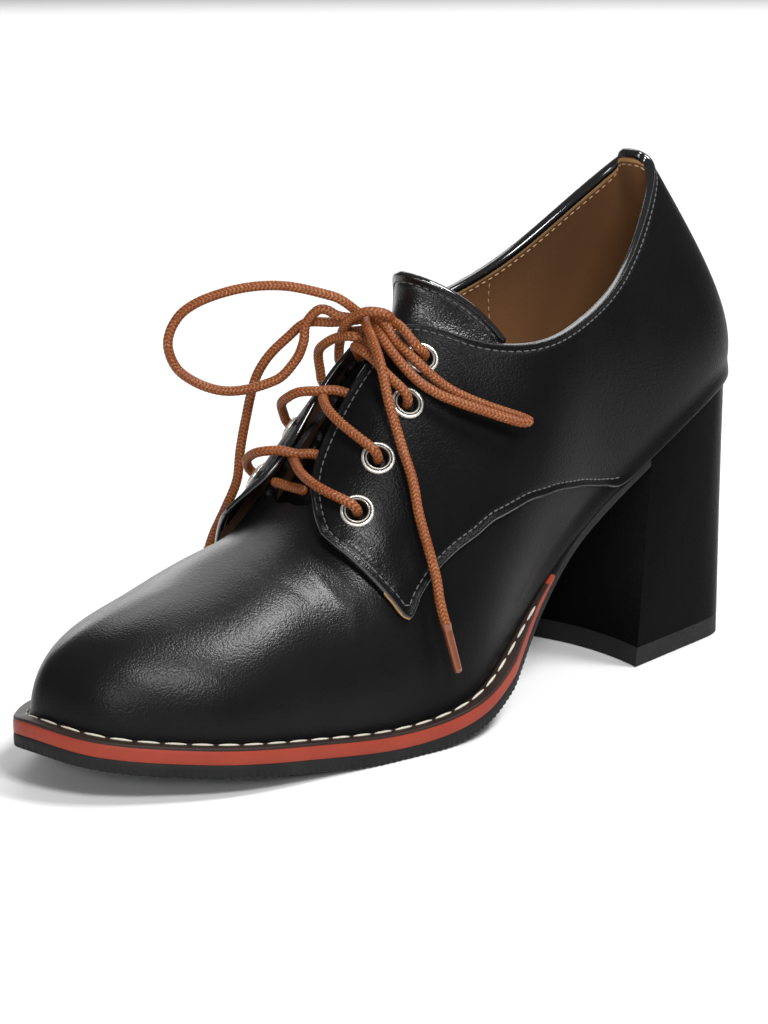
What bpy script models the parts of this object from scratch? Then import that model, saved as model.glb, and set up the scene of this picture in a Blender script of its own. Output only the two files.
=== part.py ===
# Block heel lace-up shoe, left foot, toe along -Y, outer side along +X, standing on z = 0.
from collections import namedtuple

import bpy
import bmesh
import numpy as np

# Sizes in millimetres; meshes are written in metres
MM = 0.001
GAP = 0.25
WALL = 1.6
OVERLAY = 1.3
OVER_GAP = 0.4
WELT = 0.7
WELT_ROOT = 2.4
EDGE_STEP = 0.1
MIDSOLE = 3.35
SOLE_FOREFOOT = 3.4
SOLE_WAIST = 2.5
WAIST_FROM = 72.0
WAIST_TO = 109.0
INSOLE = 2.4
LIFT = 5.2
BREAST_HOLLOW = 5.0
HEEL_INNER = 0.93
LACE = 2.6
EYELET_R = 4.2
BARREL_R = 2.7
BORE_R = 2.2
EYELET_RISE = 0.8
SHARP_ANGLE = 0.6
LAST_STATION = 14
ROUND = 2 * LAST_STATION

# The upper's sections, heel back to toe tip. Each is a curve from the feather edge, where upper meets sole,
# to the top line, with a low handle and a top handle that bend it.
Section = namedtuple("Section", (
    "feather_fwd", "feather_outer", "feather_inner", "feather_z", "top_fwd", "top_half", "top_z",
    "low_out", "low_up", "high_fwd", "high_out", "high_z"))
SECTIONS = tuple(Section(*row) for row in (
    (-0.6, 0.0, 0.0, 73.9, 20.5, 0.0, 136.4, 6.0, 17.6, -9.3, 0.0, -20.5),
    (0.3, 15.3, 14.0, 73.4, 19.8, 6.6, 133.4, 7.2, 15.8, -8.2, 8.7, -21.0),
    (15.0, 25.0, 22.8, 69.9, 31.0, 14.5, 122.2, 5.7, 15.4, -2.8, 10.4, -20.1),
    (41.5, 27.1, 22.9, 57.7, 50.3, 22.5, 107.5, 4.2, 15.9, -1.1, 7.6, -16.3),
    (68.1, 27.0, 20.5, 42.7, 70.7, 27.1, 99.2, 4.3, 17.6, -0.1, 6.3, -16.2),
    (91.3, 30.0, 23.1, 27.5, 86.9, 26.5, 95.6, 4.9, 20.3, 0.1, 7.9, -18.0),
    (109.3, 35.4, 29.1, 16.9, 100.9, 17.5, 96.7, 4.9, 22.2, 0.2, 11.9, -16.0),
    (124.8, 39.2, 34.6, 10.4, 113.1, 5.0, 100.3, 4.9, 21.9, 0.9, 15.9, -8.4),
    (141.6, 38.7, 37.9, 7.6, 128.5, 0.0, 88.5, 4.0, 20.9, 5.7, 19.9, -5.9),
    (159.0, 36.8, 38.2, 7.8, 148.3, 0.0, 61.8, 3.1, 19.1, 4.9, 20.7, -4.6),
    (176.6, 34.6, 36.6, 9.7, 166.5, 0.0, 51.4, 2.2, 18.0, 5.3, 21.3, -2.2),
    (195.9, 31.4, 32.2, 12.0, 183.1, 0.0, 46.5, 2.0, 15.5, 8.0, 18.9, -2.0),
    (212.3, 22.9, 25.7, 14.0, 193.7, 0.0, 44.2, 1.2, 15.7, 13.1, 13.5, -2.6),
    (225.4, 10.1, 14.5, 16.2, 198.8, 0.0, 43.2, 0.0, 16.4, 16.6, 7.5, -3.3),
    (229.4, -5.5, 5.5, 18.0, 199.8, 0.0, 43.0, -0.8, 16.7, 18.0, 0.0, -3.6),
))

# Top handles of the inner side where it falls from the instep more steeply than the outer side
InnerTop = namedtuple("InnerTop", ("section", "high_fwd", "high_out", "high_z"))
INNER_TOP = tuple(InnerTop(*row) for row in (
    (6, 0.2, 11.4, -16.6), (7, 0.9, 11.0, -12.4), (8, 5.7, 11.0, -10.0), (9, 4.9, 16.5, -5.8),
))

# How far the sole's edge stands out from the feather edge, per section
MARGIN = (0.3, 0.3, 0.3, 0.3, 0.3, 1.6, 4.0, 4.0, 3.8, 3.8, 3.9, 3.9, 3.9, 4.2, 4.0)

# Lower edge of the quarters: section number u, share v of the section's height
EdgeRow = namedtuple("EdgeRow", ("u", "v"))
QUARTER_LOW = tuple(EdgeRow(*row) for row in (
    (0.0, 0.012), (3.3, 0.012), (3.5, 0.03), (3.75, 0.11), (4.25, 0.27), (4.95, 0.405), (5.6, 0.45),
    (6.3, 0.435), (6.85, 0.405), (7.3, 0.39), (7.65, 0.375), (7.95, 0.352), (8.2, 0.318), (8.32, 0.335),
    (8.48, 0.395), (8.62, 0.455), (8.8, 0.54), (8.96, 0.625), (9.08, 0.695), (9.13, 0.745),
))

# Facing edges: section number u, distance from the middle on the outer side and on the inner side
FacingRow = namedtuple("FacingRow", ("u", "outer", "inner"))
FACING = tuple(FacingRow(*row) for row in (
    (6.9, 4.2, 4.2), (7.8, 3.4, 3.4), (8.45, 3.6, 3.6), (8.72, 4.6, 4.8), (8.88, 6.6, 6.8),
    (8.98, 9.0, 9.2), (9.08, 12.4, 12.6), (9.13, 15.4, 15.6),
))

# Eyelet centres, toe end first: section number u and share of height v on either side
Eyelet = namedtuple("Eyelet", ("outer_u", "outer_v", "inner_u", "inner_v"))
EYELETS = tuple(Eyelet(*row) for row in (
    (8.58, 0.670, 8.45, 0.675),
    (8.14, 0.705, 7.94, 0.700),
    (7.56, 0.745, 7.48, 0.750),
    (7.11, 0.838, 7.15, 0.790),
))

# Tongue, front end to top edge: fwd and z on the middle line, half widths, how far its sides trail and drop
TongueRow = namedtuple("TongueRow", ("fwd", "z", "half", "inner_half", "trail", "drop"))
TONGUE = tuple(TongueRow(*row) for row in (
    (157.0, 52.0, 13.0, 13.0, 0.0, 5.0),
    (148.3, 58.0, 15.0, 14.0, 0.0, 7.6),
    (138.0, 70.4, 16.0, 11.6, 0.0, 9.2),
    (128.5, 84.2, 16.0, 10.6, 0.0, 10.2),
    (120.0, 92.2, 16.0, 10.8, 1.5, 11.4),
    (113.4, 97.8, 16.5, 13.0, 6.0, 12.2),
    (110.4, 103.6, 18.5, 16.6, 11.5, 14.2),
    (109.8, 108.4, 20.0, 19.0, 15.5, 16.0),
    (110.2, 113.0, 21.0, 20.4, 17.0, 17.2),
))
TONGUE_THICK = 1.8

# Heel block ribs, back to breast, at its base and at the seat
HeelRib = namedtuple("HeelRib", ("base_fwd", "base_half", "seat_fwd", "seat_half"))
HEEL = tuple(HeelRib(*row) for row in (
    (0.2, 0.0, -0.5, 0.0),
    (0.3, 8.0, -0.4, 8.0),
    (0.9, 14.0, 0.3, 14.4),
    (2.6, 18.3, 3.0, 19.4),
    (7.0, 20.9, 8.6, 23.0),
    (14.0, 22.4, 15.0, 24.6),
    (25.0, 24.1, 24.0, 25.8),
    (36.0, 25.8, 33.0, 26.5),
    (47.5, 27.6, 41.2, 26.8),
))

# A strand's first points, as distances along the facing and up from it at the eyelet
STRAND_RISE = ((0.0, -0.7), (0.0, 0.7), (0.7, 2.4), (2.6, 3.3))

# Lace through the throat, as fwd, out, z points: the bar at its foot, then the strands that leave each
# eyelet, toe end first, over their facing's edge and under the other facing
BAR = ((149.4, -7.6, 63.0), (150.0, -1.0, 62.9), (150.6, 5.8, 62.9))
STRANDS_OUTER = (
    ((153.2, 15.3, 65.0), (153.5, 10.3, 66.6), (151.5, 4.6, 67.8), (148.2, -0.6, 68.9), (145.6, -4.0, 69.1),
     (142.5, -7.5, 68.0)),
    ((142.2, 14.0, 77.9), (142.5, 9.6, 80.1), (141.6, 4.6, 82.4), (138.6, -0.2, 83.9), (135.4, -2.8, 83.2),
     (131.6, -5.4, 80.8)),
    ((129.0, 12.6, 91.2), (129.1, 8.2, 94.2), (128.9, 3.6, 95.8), (127.0, -0.3, 95.8), (124.2, -2.0, 93.6),
     (121.8, -3.6, 91.6)),
)
STRANDS_INNER = (
    ((149.6, -17.0, 67.0), (151.3, -13.2, 69.4), (151.6, -9.2, 70.9), (149.2, -5.2, 71.4),
     (146.5, -1.5, 70.7), (143.1, 0.9, 70.5), (141.6, 4.2, 69.8)),
    ((139.0, -15.0, 80.4), (140.6, -11.2, 82.9), (140.2, -7.2, 84.9), (137.4, -2.4, 85.5), (134.2, 0.2, 85.5),
     (130.9, 3.2, 84.2)),
    ((127.4, -13.2, 92.6), (128.2, -9.6, 95.6), (127.6, -5.6, 97.6), (127.0, -0.2, 98.3), (123.6, 1.4, 96.2)),
)

# Free cords of the bow, each a route of fwd, out, z points
KNOT_BAND = (
    (128.1, -3.1, 100.9), (128.2, 0.3, 103.7), (127.4, 4.5, 105.6), (125.1, 7.2, 105.4),
    (123.3, 7.9, 104.5),
)
LOOP_OUTER = (
    (123.1, 5.6, 102.7), (122.4, 9.8, 98.0), (121.4, 15.3, 94.0), (118.8, 18.4, 90.2),
    (115.6, 21.4, 86.6), (111.7, 24.4, 83.9), (107.4, 27.3, 81.6), (102.3, 30.3, 79.3),
    (99.3, 32.0, 78.0), (99.0, 34.5, 77.3), (101.4, 34.3, 77.3), (104.6, 32.4, 78.5), (109.7, 29.5, 80.7),
    (114.6, 26.4, 82.9), (119.4, 22.5, 85.5), (123.0, 18.3, 89.0), (124.6, 13.5, 93.4),
    (124.8, 8.0, 98.1), (123.1, 2.3, 102.0),
)
LOOP_INNER = (
    (127.8, -2.7, 106.9), (130.3, -4.9, 108.7), (139.2, -14.9, 111.3), (147.8, -24.6, 109.8),
    (155.6, -33.5, 104.4), (158.7, -36.3, 96.4), (156.6, -33.8, 88.5), (149.1, -25.6, 83.8),
    (140.2, -15.9, 86.7), (136.2, -12.5, 91.9), (134.5, -11.4, 96.5), (133.7, -11.3, 101.1),
    (131.6, -9.3, 104.6), (130.4, -7.3, 104.9), (128.6, -4.4, 103.4),
)
END_OUTER = (
    (126.0, 2.7, 102.2), (129.4, 8.9, 98.3), (131.9, 13.6, 94.5), (132.5, 15.6, 90.2),
    (133.2, 18.0, 85.0), (133.7, 23.0, 74.5), (134.5, 27.5, 66.9), (135.9, 31.2, 58.7),
    (136.3, 34.5, 51.6), (136.3, 37.6, 43.6), (137.0, 39.8, 37.2), (136.4, 41.8, 30.4),
    (135.3, 44.6, 19.9),
)
END_INNER = (
    (127.8, -6.7, 101.4), (130.9, -14.2, 100.6), (133.6, -18.0, 96.8), (136.8, -22.3, 91.3),
    (138.6, -25.2, 85.2), (139.5, -28.0, 74.1), (139.8, -29.8, 65.8), (139.6, -31.4, 57.6),
    (141.0, -34.6, 49.5), (142.0, -38.2, 42.0), (142.2, -41.3, 33.8), (142.3, -43.6, 25.8),
)
TOP_OUTER = (
    (119.8, 14.6, 97.1), (121.0, 12.1, 100.2), (120.8, 8.8, 102.0),
)
TOP_INNER = ((117.4, -14.5, 96.5), (117.6, -10.0, 100.6), (118.2, -5.9, 103.0))

# Colours, roughness and metal share of each sub-part
FINISH = {
    "outsole": ((0.012, 0.012, 0.013), 0.7, 0.0),
    "midsole": ((0.42, 0.07, 0.045), 0.55, 0.0),
    "welt": ((0.035, 0.02, 0.015), 0.6, 0.0),
    "heel": ((0.008, 0.008, 0.009), 0.18, 0.0),
    "heel_toplift": ((0.014, 0.014, 0.015), 0.8, 0.0),
    "insole": ((0.36, 0.2, 0.1), 0.7, 0.0),
    "upper": ((0.02, 0.02, 0.021), 0.4, 0.0),
    "quarter": ((0.018, 0.018, 0.019), 0.4, 0.0),
    "tongue": ((0.017, 0.017, 0.018), 0.45, 0.0),
    "eyelet": ((0.7, 0.7, 0.69), 0.2, 1.0),
    "lace": ((0.45, 0.19, 0.07), 0.75, 0.0),
}


def ease(x, a, b):
    """Smooth step from 0 at a to 1 at b."""
    t = np.clip((np.asarray(x, float) - a) / (b - a), 0.0, 1.0)
    return t * t * (3.0 - 2.0 * t)


def folded(u):
    """Section number counted from the heel on either side."""
    u = np.asarray(u, float)
    return np.where(u > LAST_STATION, ROUND - u, u)


class Ring:
    """Smooth closed curve through the section rows, outer side forwards and inner side back."""

    def __init__(self):
        rows = []
        inner_top = {row.section: row for row in INNER_TOP}
        for k in range(ROUND):
            s = SECTIONS[k if k <= LAST_STATION else ROUND - k]
            top = s if k <= LAST_STATION else inner_top.get(ROUND - k, s)
            side = 1.0 if k <= LAST_STATION else -1.0
            half = s.feather_outer if k <= LAST_STATION else -s.feather_inner
            rows.append((s.feather_fwd, half, s.feather_z, s.top_fwd, side * s.top_half, s.top_z,
                         s.low_out, s.low_up, top.high_fwd, side * top.high_out, top.high_z))
        self.y = np.array(rows)
        n = ROUND
        a = 4.0 * np.eye(n) + np.roll(np.eye(n), 1, 0) + np.roll(np.eye(n), -1, 0)
        b = 6.0 * (np.roll(self.y, -1, 0) - 2.0 * self.y + np.roll(self.y, 1, 0))
        self.m = np.linalg.solve(a, b)

    def at(self, u):
        """Row values and their slopes at section numbers u."""
        u = np.mod(np.asarray(u, float), ROUND)
        i = np.floor(u).astype(int) % ROUND
        j = (i + 1) % ROUND
        t = (u - np.floor(u))[:, None]
        s = 1.0 - t
        value = self.y[i] * s + self.y[j] * t + (s ** 3 - s) * self.m[i] / 6 + (t ** 3 - t) * self.m[j] / 6
        slope = self.y[j] - self.y[i] + (1 - 3 * s ** 2) * self.m[i] / 6 + (3 * t ** 2 - 1) * self.m[j] / 6
        return value, slope


RING = Ring()


def outward(slope):
    """Unit plan normal of the feather edge."""
    d = slope[:, :2] / np.maximum(np.linalg.norm(slope[:, :2], axis=1, keepdims=True), 1e-9)
    return np.stack([-d[:, 1], d[:, 0]], 1)


def last(u, v):
    """Points of the shoe's outer form at section numbers u and height shares v, as fwd, out, z."""
    u = np.asarray(u, float)
    v = np.asarray(v, float)[:, None]
    r, slope = RING.at(u)
    out = outward(slope)
    p0 = r[:, :3]
    p1 = p0 + np.column_stack([out * r[:, 6:7], r[:, 7]])
    p3 = r[:, 3:6]
    p2 = p3 + r[:, 8:11]
    w = 1.0 - v
    return p0 * w ** 3 + 3 * p1 * v * w ** 2 + 3 * p2 * v ** 2 * w + p3 * v ** 3


def normal(u, v):
    """Outward unit normals of the form."""
    u = np.asarray(u, float)
    v = np.clip(np.asarray(v, float), 0.0, 1.0)
    e = 1e-3
    lo = np.clip(v - e, 0.0, 1.0)
    hi = np.clip(v + e, 0.0, 1.0)
    du = last(u + e, v) - last(u - e, v)
    dv = last(u, hi) - last(u, lo)
    n = np.cross(dv, du)
    return n / np.maximum(np.linalg.norm(n, axis=1, keepdims=True), 1e-12)


def sink(u):
    """How far the upper's outer face lies inside the form, under the quarters."""
    return 0.8 * (1.0 - ease(folded(u), 4.0, 8.5))


def flap(u, v):
    """How far the facings' loose fronts stand off the upper, the inner one more."""
    k = folded(u)
    rise = 2.4 * ease(k, 7.3, 9.1) * ease(v, 0.3, 0.8)
    stand = 0.15 * ease(k, 5.4, 6.4) + 1.5 * ease(k, 6.9, 8.0) * ease(v, 0.5, 0.85)
    return rise + stand * (np.asarray(u) > LAST_STATION) + 0.45 * ease(k, 7.6, 8.4)


def shell(u, v, off):
    """Form points moved out by off."""
    return last(u, v) + normal(u, v) * np.asarray(off, float)[:, None]


def share_at(u, half):
    """Height share where each section comes within half of the middle, or its top line."""
    u = np.asarray(u, float)
    lo = np.full(len(u), 0.45)
    hi = np.ones(len(u))
    open_top = np.abs(last(u, hi)[:, 1]) >= half
    for _ in range(40):
        mid = 0.5 * (lo + hi)
        wide = np.abs(last(u, mid)[:, 1]) > half
        lo = np.where(wide, mid, lo)
        hi = np.where(wide, hi, mid)
    return np.where(open_top | (folded(u) < 5.0), 1.0, 0.5 * (lo + hi))


class Body:
    """Vertices and faces of one sub-part while it is put together."""

    def __init__(self):
        self.points = []
        self.faces = []

    def add(self, points):
        """Adds points and returns their numbers."""
        first = len(self.points)
        self.points.extend([tuple(p) for p in points])
        return list(range(first, first + len(points)))

    def quads(self, rows, flip=False):
        """Faces between neighbouring rows of equal length."""
        for a, b in zip(rows[:-1], rows[1:]):
            for i in range(len(a) - 1):
                f = (a[i], a[i + 1], b[i + 1], b[i])
                self.faces.append(f[::-1] if flip else f)


def to_world(points):
    """From fwd, out, z in millimetres to metres with the box centred."""
    p = np.asarray(points, float)
    return np.column_stack([p[:, 1] - CENTRE[1], CENTRE[0] - p[:, 0], p[:, 2]]) * MM


def material(kind):
    """One plain material per sub-part kind."""
    mat = bpy.data.materials.get(kind)
    if mat:
        return mat
    colour, rough, metal = FINISH[kind]
    mat = bpy.data.materials.new(kind)
    mat.use_nodes = True
    shader = mat.node_tree.nodes["Principled BSDF"]
    shader.inputs["Base Color"].default_value = (*colour, 1.0)
    shader.inputs["Roughness"].default_value = rough
    shader.inputs["Metallic"].default_value = metal
    return mat


def solid(name, body, kind):
    """Makes the mesh object of a body: joins doubled points, drops collapsed faces, faces outward."""
    mesh = bpy.data.meshes.new(name)
    bm = bmesh.new()
    verts = [bm.verts.new(p) for p in to_world(body.points)]
    for f in body.faces:
        if len(set(f)) >= 3:
            bm.faces.new([verts[i] for i in dict.fromkeys(f)])
    bmesh.ops.remove_doubles(bm, verts=bm.verts, dist=2e-6)
    bmesh.ops.dissolve_degenerate(bm, edges=bm.edges, dist=1e-7)
    bmesh.ops.recalc_face_normals(bm, faces=bm.faces)
    if bm.calc_volume(signed=True) < 0:
        bmesh.ops.reverse_faces(bm, faces=bm.faces)
    bmesh.ops.triangulate(bm, faces=bm.faces)
    bm.to_mesh(mesh)
    bm.free()
    mesh.shade_smooth()
    mesh.set_sharp_from_angle(angle=SHARP_ANGLE)
    obj = bpy.data.objects.new(name, mesh)
    mesh.materials.append(material(kind))
    bpy.context.scene.collection.objects.link(obj)
    return obj


def ribs(first, steps):
    """Section numbers of a plate's ribs from its back end to the toe tip."""
    t = np.linspace(0.0, 1.0, steps)
    return first + (LAST_STATION - first) * t


def feather(u, out):
    """Feather edge moved out in plan by out: fwd, lat, z."""
    r, slope = RING.at(u)
    n = outward(slope)
    return np.column_stack([r[:, :2] + n * np.asarray(out, float)[:, None], r[:, 2]])


def margin(u):
    """Sole edge's stand-out at section numbers u."""
    return np.interp(folded(u), np.arange(LAST_STATION + 1), MARGIN)


def plate(first, steps, edge, top, bottom, across=5, hollow=0.0):
    """Plate between the two sides of the feather ring, with top and bottom heights per section."""
    u = ribs(first, steps)
    outer = feather(u, edge(u))
    inner = feather(ROUND - u, edge(ROUND - u))
    t = np.linspace(-1.0, 1.0, across)
    body = Body()
    layers = []
    for height in (top, bottom):
        z = height(u)
        rows = []
        for k in range(steps):
            s = 0.5 * (1.0 + t)[:, None]
            p = inner[k] * (1.0 - s) + outer[k] * s
            back = hollow * (1.0 - ease(u[k], first, first + 1.2)) * (1.0 - t ** 2)
            p[:, 0] -= back
            p[:, 2] = z[k]
            rows.append(body.add(p))
        layers.append(rows)
        body.quads(rows, flip=height is bottom)
    for k in range(steps - 1):
        for i in (0, -1):
            f = (layers[0][k][i], layers[0][k + 1][i], layers[1][k + 1][i], layers[1][k][i])
            body.faces.append(f if i == 0 else f[::-1])
    for i in range(across - 1):
        body.faces.append((layers[0][0][i], layers[0][0][i + 1], layers[1][0][i + 1], layers[1][0][i]))
    return body


def taper(u):
    """1 through the forefoot, 0 at the waist and heel."""
    r, _ = RING.at(u)
    return ease(r[:, 0], WAIST_FROM, WAIST_TO)


def seat(u):
    """Height of the feather edge, the same on both sides."""
    return RING.at(u)[0][:, 2]


def welt_top(u):
    """Top of the welt, under the upper's edge."""
    return seat(u) - 0.2


def mid_top(u):
    """Top of the red layer."""
    return seat(u) - GAP - (WELT + 0.2) * taper(u)


def mid_low(u):
    """Underside of the red layer."""
    return seat(u) - (WELT + 0.2 + MIDSOLE) * taper(u)


def sole_top(u):
    """Top of the outsole."""
    return seat(u) - GAP - (WELT + 0.2 + MIDSOLE) * taper(u)


def sole_low(u):
    """Underside of the outsole, flat on the floor at the forefoot."""
    low = sole_top(u) - SOLE_WAIST - (SOLE_FOREFOOT - SOLE_WAIST) * taper(u)
    return np.maximum(low, 0.0)


def make_outsole():
    """Outsole from the heel's breast to the toe."""
    return plate(3.03, 30, margin, sole_top, sole_low, hollow=BREAST_HOLLOW)


def make_midsole():
    """Red layer, running out at the waist."""
    return plate(4.62, 24, lambda u: margin(u) - EDGE_STEP, mid_top, mid_low)


def make_insole():
    """Insole within the upper's wall."""
    def edge(u):
        return -(sink(u) + WALL + 0.55)

    def low(u):
        return seat(u) + 0.25

    def top(u):
        return seat(u) + 0.25 + INSOLE
    return plate(0.0, 26, edge, top, low)


def make_welt():
    """Ledge round the forefoot, an open ring that thins to its ends."""
    u = np.linspace(4.75, ROUND - 4.75, 55)
    thick = np.maximum(WELT * taper(u), 0.25)
    top = welt_top(u)
    body = Body()
    corners = []
    edge = margin(u) - EDGE_STEP
    root = np.full(len(u), -WELT_ROOT)
    for out, drop in ((edge, 0.0), (edge, 1.0), (root, 1.0), (root, 0.0)):
        p = feather(u, out)
        p[:, 2] = top - thick * drop
        corners.append(body.add(p))
    corners.append(corners[0])
    body.quads(corners)
    body.faces.append(tuple(c[0] for c in corners[:4]))
    body.faces.append(tuple(c[-1] for c in corners[3::-1]))
    return body


def block(low, high, hollow_low, hollow_high, low_z, high_z, levels=5, across=7):
    """Block lofted between two outlines of fwd, half width rows, back to front."""
    t = np.linspace(-1.0, 1.0, across)
    count = len(low)
    body = Body()
    grid = []
    for s in np.linspace(0.0, 1.0, levels):
        rows = []
        for k in range(count):
            fwd = low[k, 0] * (1 - s) + high[k, 0] * s
            half = low[k, 1] * (1 - s) + high[k, 1] * s
            bend = (hollow_low * (1 - s) + hollow_high * s) * (k / (count - 1)) ** 3
            p = np.zeros((across, 3))
            p[:, 0] = fwd - bend * (1.0 - t ** 2)
            p[:, 1] = half * t * np.where(t < 0, HEEL_INNER, 1.0)
            z0 = low_z(p[:, 0])
            z1 = high_z(p[:, 0])
            p[:, 2] = z0 * (1 - s) + z1 * s
            rows.append(body.add(p))
        grid.append(rows)
    body.quads(grid[0])
    body.quads(grid[-1], flip=True)
    for a, b in zip(grid[:-1], grid[1:]):
        for i in (0, -1):
            body.quads([[r[i] for r in a], [r[i] for r in b]], flip=i == 0)
        body.quads([a[-1], b[-1]])
    return body


def seat_at(fwd):
    """Feather height over a distance from the heel's back."""
    u = np.linspace(0.0, 6.0, 400)
    r, _ = RING.at(u)
    order = np.argsort(r[:, 0])
    return np.interp(fwd, r[order, 0], r[order, 2])


def make_heel():
    """Heel block from the top lift to the seat."""
    h = np.array(HEEL)
    s = (LIFT + GAP) / 62.0
    low = np.column_stack([h[:, 0] * (1 - s) + h[:, 2] * s, h[:, 1] * (1 - s) + h[:, 3] * s])
    return block(low, h[:, 2:4], BREAST_HOLLOW, BREAST_HOLLOW,
                 lambda x: LIFT + GAP + 0 * x, lambda x: seat_at(x) - GAP)


def make_lift():
    """Rubber piece under the heel."""
    h = np.array(HEEL)
    s = LIFT / 62.0
    high = np.column_stack([h[:, 0] * (1 - s) + h[:, 2] * s, h[:, 1] * (1 - s) + h[:, 3] * s])
    return block(h[:, 0:2], high, BREAST_HOLLOW, BREAST_HOLLOW,
                 lambda x: 0 * x, lambda x: LIFT + 0 * x, levels=2)


BACK_COLUMNS = np.array(
    [0.4, 0.8, 1.2, 1.6, 2.0, 2.5, 3.0, 3.5, 4.0, 4.6, 5.2, 5.7, 6.2, 6.6, 7.0, 7.35, 7.7, 7.95])
THROAT_HALF = 13.0
THROAT_SQUARE = 8.0
THROAT_END = 9.15


def throat(u):
    """Half width of the opening in the upper's own wall, under the facings."""
    u = folded(u)
    run = np.clip((u - THROAT_SQUARE) / (THROAT_END - THROAT_SQUARE), 0.0, 1.0)
    return np.where(u < THROAT_END, THROAT_HALF * np.sqrt(np.maximum(1.0 - run ** 2, 0.0)), 0.0)


def make_upper():
    """Hollow wall of vamp and sides, open at the collar, the throat and underneath."""
    half = np.concatenate([[0.0], BACK_COLUMNS, np.array(
        [8.2, 8.48, 8.8, 9.0, 9.1, 9.15, 9.4, 9.9, 10.5, 11.1, 11.6, 12.1, 12.5, 12.9, 13.3, 13.65])])
    u = np.concatenate([half, [LAST_STATION], (ROUND - half[:0:-1])])
    top = share_at(u, throat(u))
    closed = folded(u) >= THROAT_END - 1e-9
    top = np.where(closed, 1.0, top)
    across = -np.arange(len(u)) % len(u)
    shares = np.array([0.0, 0.1, 0.24, 0.4, 0.56, 0.72, 0.87, 1.0])
    body = Body()
    skins = []
    for depth in (0.0, WALL):
        rows = []
        for share in shares:
            v = top * share
            p = shell(u, v, -sink(u) - depth)
            if share == 1.0:
                ridge = 0.5 * (p + p[across])
                ridge[:, 1] = np.where(folded(u) < LAST_STATION, 0.0, p[:, 1])
                p = np.where(closed[:, None], ridge, p)
            if share == 0.0:
                p[:, 2] = np.maximum(p[:, 2], seat(u) + 0.05)
            rows.append(body.add(np.vstack([p, p[:1]])))
        skins.append(rows)
        body.quads(rows, flip=depth > 0)
    body.quads([skins[0][0], skins[1][0]], flip=True)
    count = len(u)
    for i in range(count):
        if not (closed[i] and closed[(i + 1) % count]):
            a, b = skins[0][-1], skins[1][-1]
            body.faces.append((a[i], a[i + 1], b[i + 1], b[i]))
    return body


def quarter_low(u):
    """Lower edge of a quarter."""
    t = np.array(QUARTER_LOW)
    return np.interp(folded(u), t[:, 0], t[:, 1])


def facing(u, inner):
    """Distance of a facing's edge from the middle."""
    t = np.array(FACING)
    return np.interp(folded(u), t[:, 0], t[:, 2 if inner else 1])


def make_quarter(inner):
    """Overlay from the back seam to the facing's edge, loose at its front."""
    u = np.concatenate([[0.04], BACK_COLUMNS, np.array([8.2, 8.34, 8.48, 8.63, 8.8, 8.97, 9.08, 9.13])])
    if inner:
        u = ROUND - u
    low = quarter_low(u)
    high = share_at(u, facing(u, inner))
    shares = np.array([0.0, 0.1, 0.24, 0.4, 0.56, 0.72, 0.87, 1.0])
    body = Body()
    skins = []
    for depth in (OVER_GAP + OVERLAY, OVER_GAP):
        rows = []
        for share in shares:
            v = low + (high - low) * share
            p = shell(u, v, flap(u, v) - sink(u) + depth)
            p[:, 2] = np.maximum(p[:, 2], seat(u) + 0.05)
            rows.append(body.add(p))
        skins.append(rows)
        body.quads(rows, flip=depth == OVER_GAP)
    a, b = skins
    body.quads([a[0], b[0]], flip=True)
    body.quads([a[-1], b[-1]])
    for i in (0, -1):
        body.quads([[r[i] for r in a], [r[i] for r in b]], flip=i == -1)
    return body


def smooth_rows(rows, count):
    """Rows of a short table read at count places on a smooth curve through them."""
    y = np.array(rows, float)
    step = np.concatenate([[0.0], np.cumsum(np.linalg.norm(np.diff(y[:, :3], axis=0), axis=1))])
    slope = np.zeros_like(y)
    slope[1:-1] = (y[2:] - y[:-2]) / (step[2:] - step[:-2])[:, None]
    slope[0] = (y[1] - y[0]) / (step[1] - step[0])
    slope[-1] = (y[-1] - y[-2]) / (step[-1] - step[-2])
    at = np.linspace(0.0, step[-1], count)
    i = np.clip(np.searchsorted(step, at, side="right") - 1, 0, len(y) - 2)
    h = (step[i + 1] - step[i])[:, None]
    t = (at[:, None] - step[i][:, None]) / h
    a = 2 * t ** 3 - 3 * t ** 2 + 1
    b = t ** 3 - 2 * t ** 2 + t
    c = 3 * t ** 2 - 2 * t ** 3
    d = t ** 3 - t ** 2
    return a * y[i] + b * h * slope[i] + c * y[i + 1] + d * h * slope[i + 1]


def make_tongue():
    """Tongue on the instep, from under the vamp to its arched top edge."""
    rows = smooth_rows(TONGUE, 14)
    q = np.linspace(-1.0, 1.0, 9)
    trail = 2.2 * q ** 2 / (1.0 + 1.2 * q ** 2)
    grid = np.zeros((len(rows), len(q), 3))
    for k, (fwd, z, half, inner_half, back, drop) in enumerate(rows):
        grid[k, :, 0] = fwd - back * trail
        grid[k, :, 1] = np.where(q < 0, inner_half, half) * q
        grid[k, :, 2] = z - drop * q ** 2
    du = np.gradient(grid, axis=0)
    dq = np.gradient(grid, axis=1)
    n = np.cross(du, dq)
    n /= np.linalg.norm(n, axis=2, keepdims=True)
    if n[len(rows) // 2, len(q) // 2, 2] < 0:
        n = -n
    body = Body()
    skins = []
    for depth in (0.0, TONGUE_THICK):
        p = grid - n * depth
        skins.append([body.add(p[k]) for k in range(len(rows))])
        body.quads(skins[-1], flip=depth > 0)
    a, b = skins
    body.quads([a[0], b[0]], flip=True)
    body.quads([a[-1], b[-1]])
    for i in (0, -1):
        body.quads([[r[i] for r in a], [r[i] for r in b]], flip=i == -1)
    return body


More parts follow.
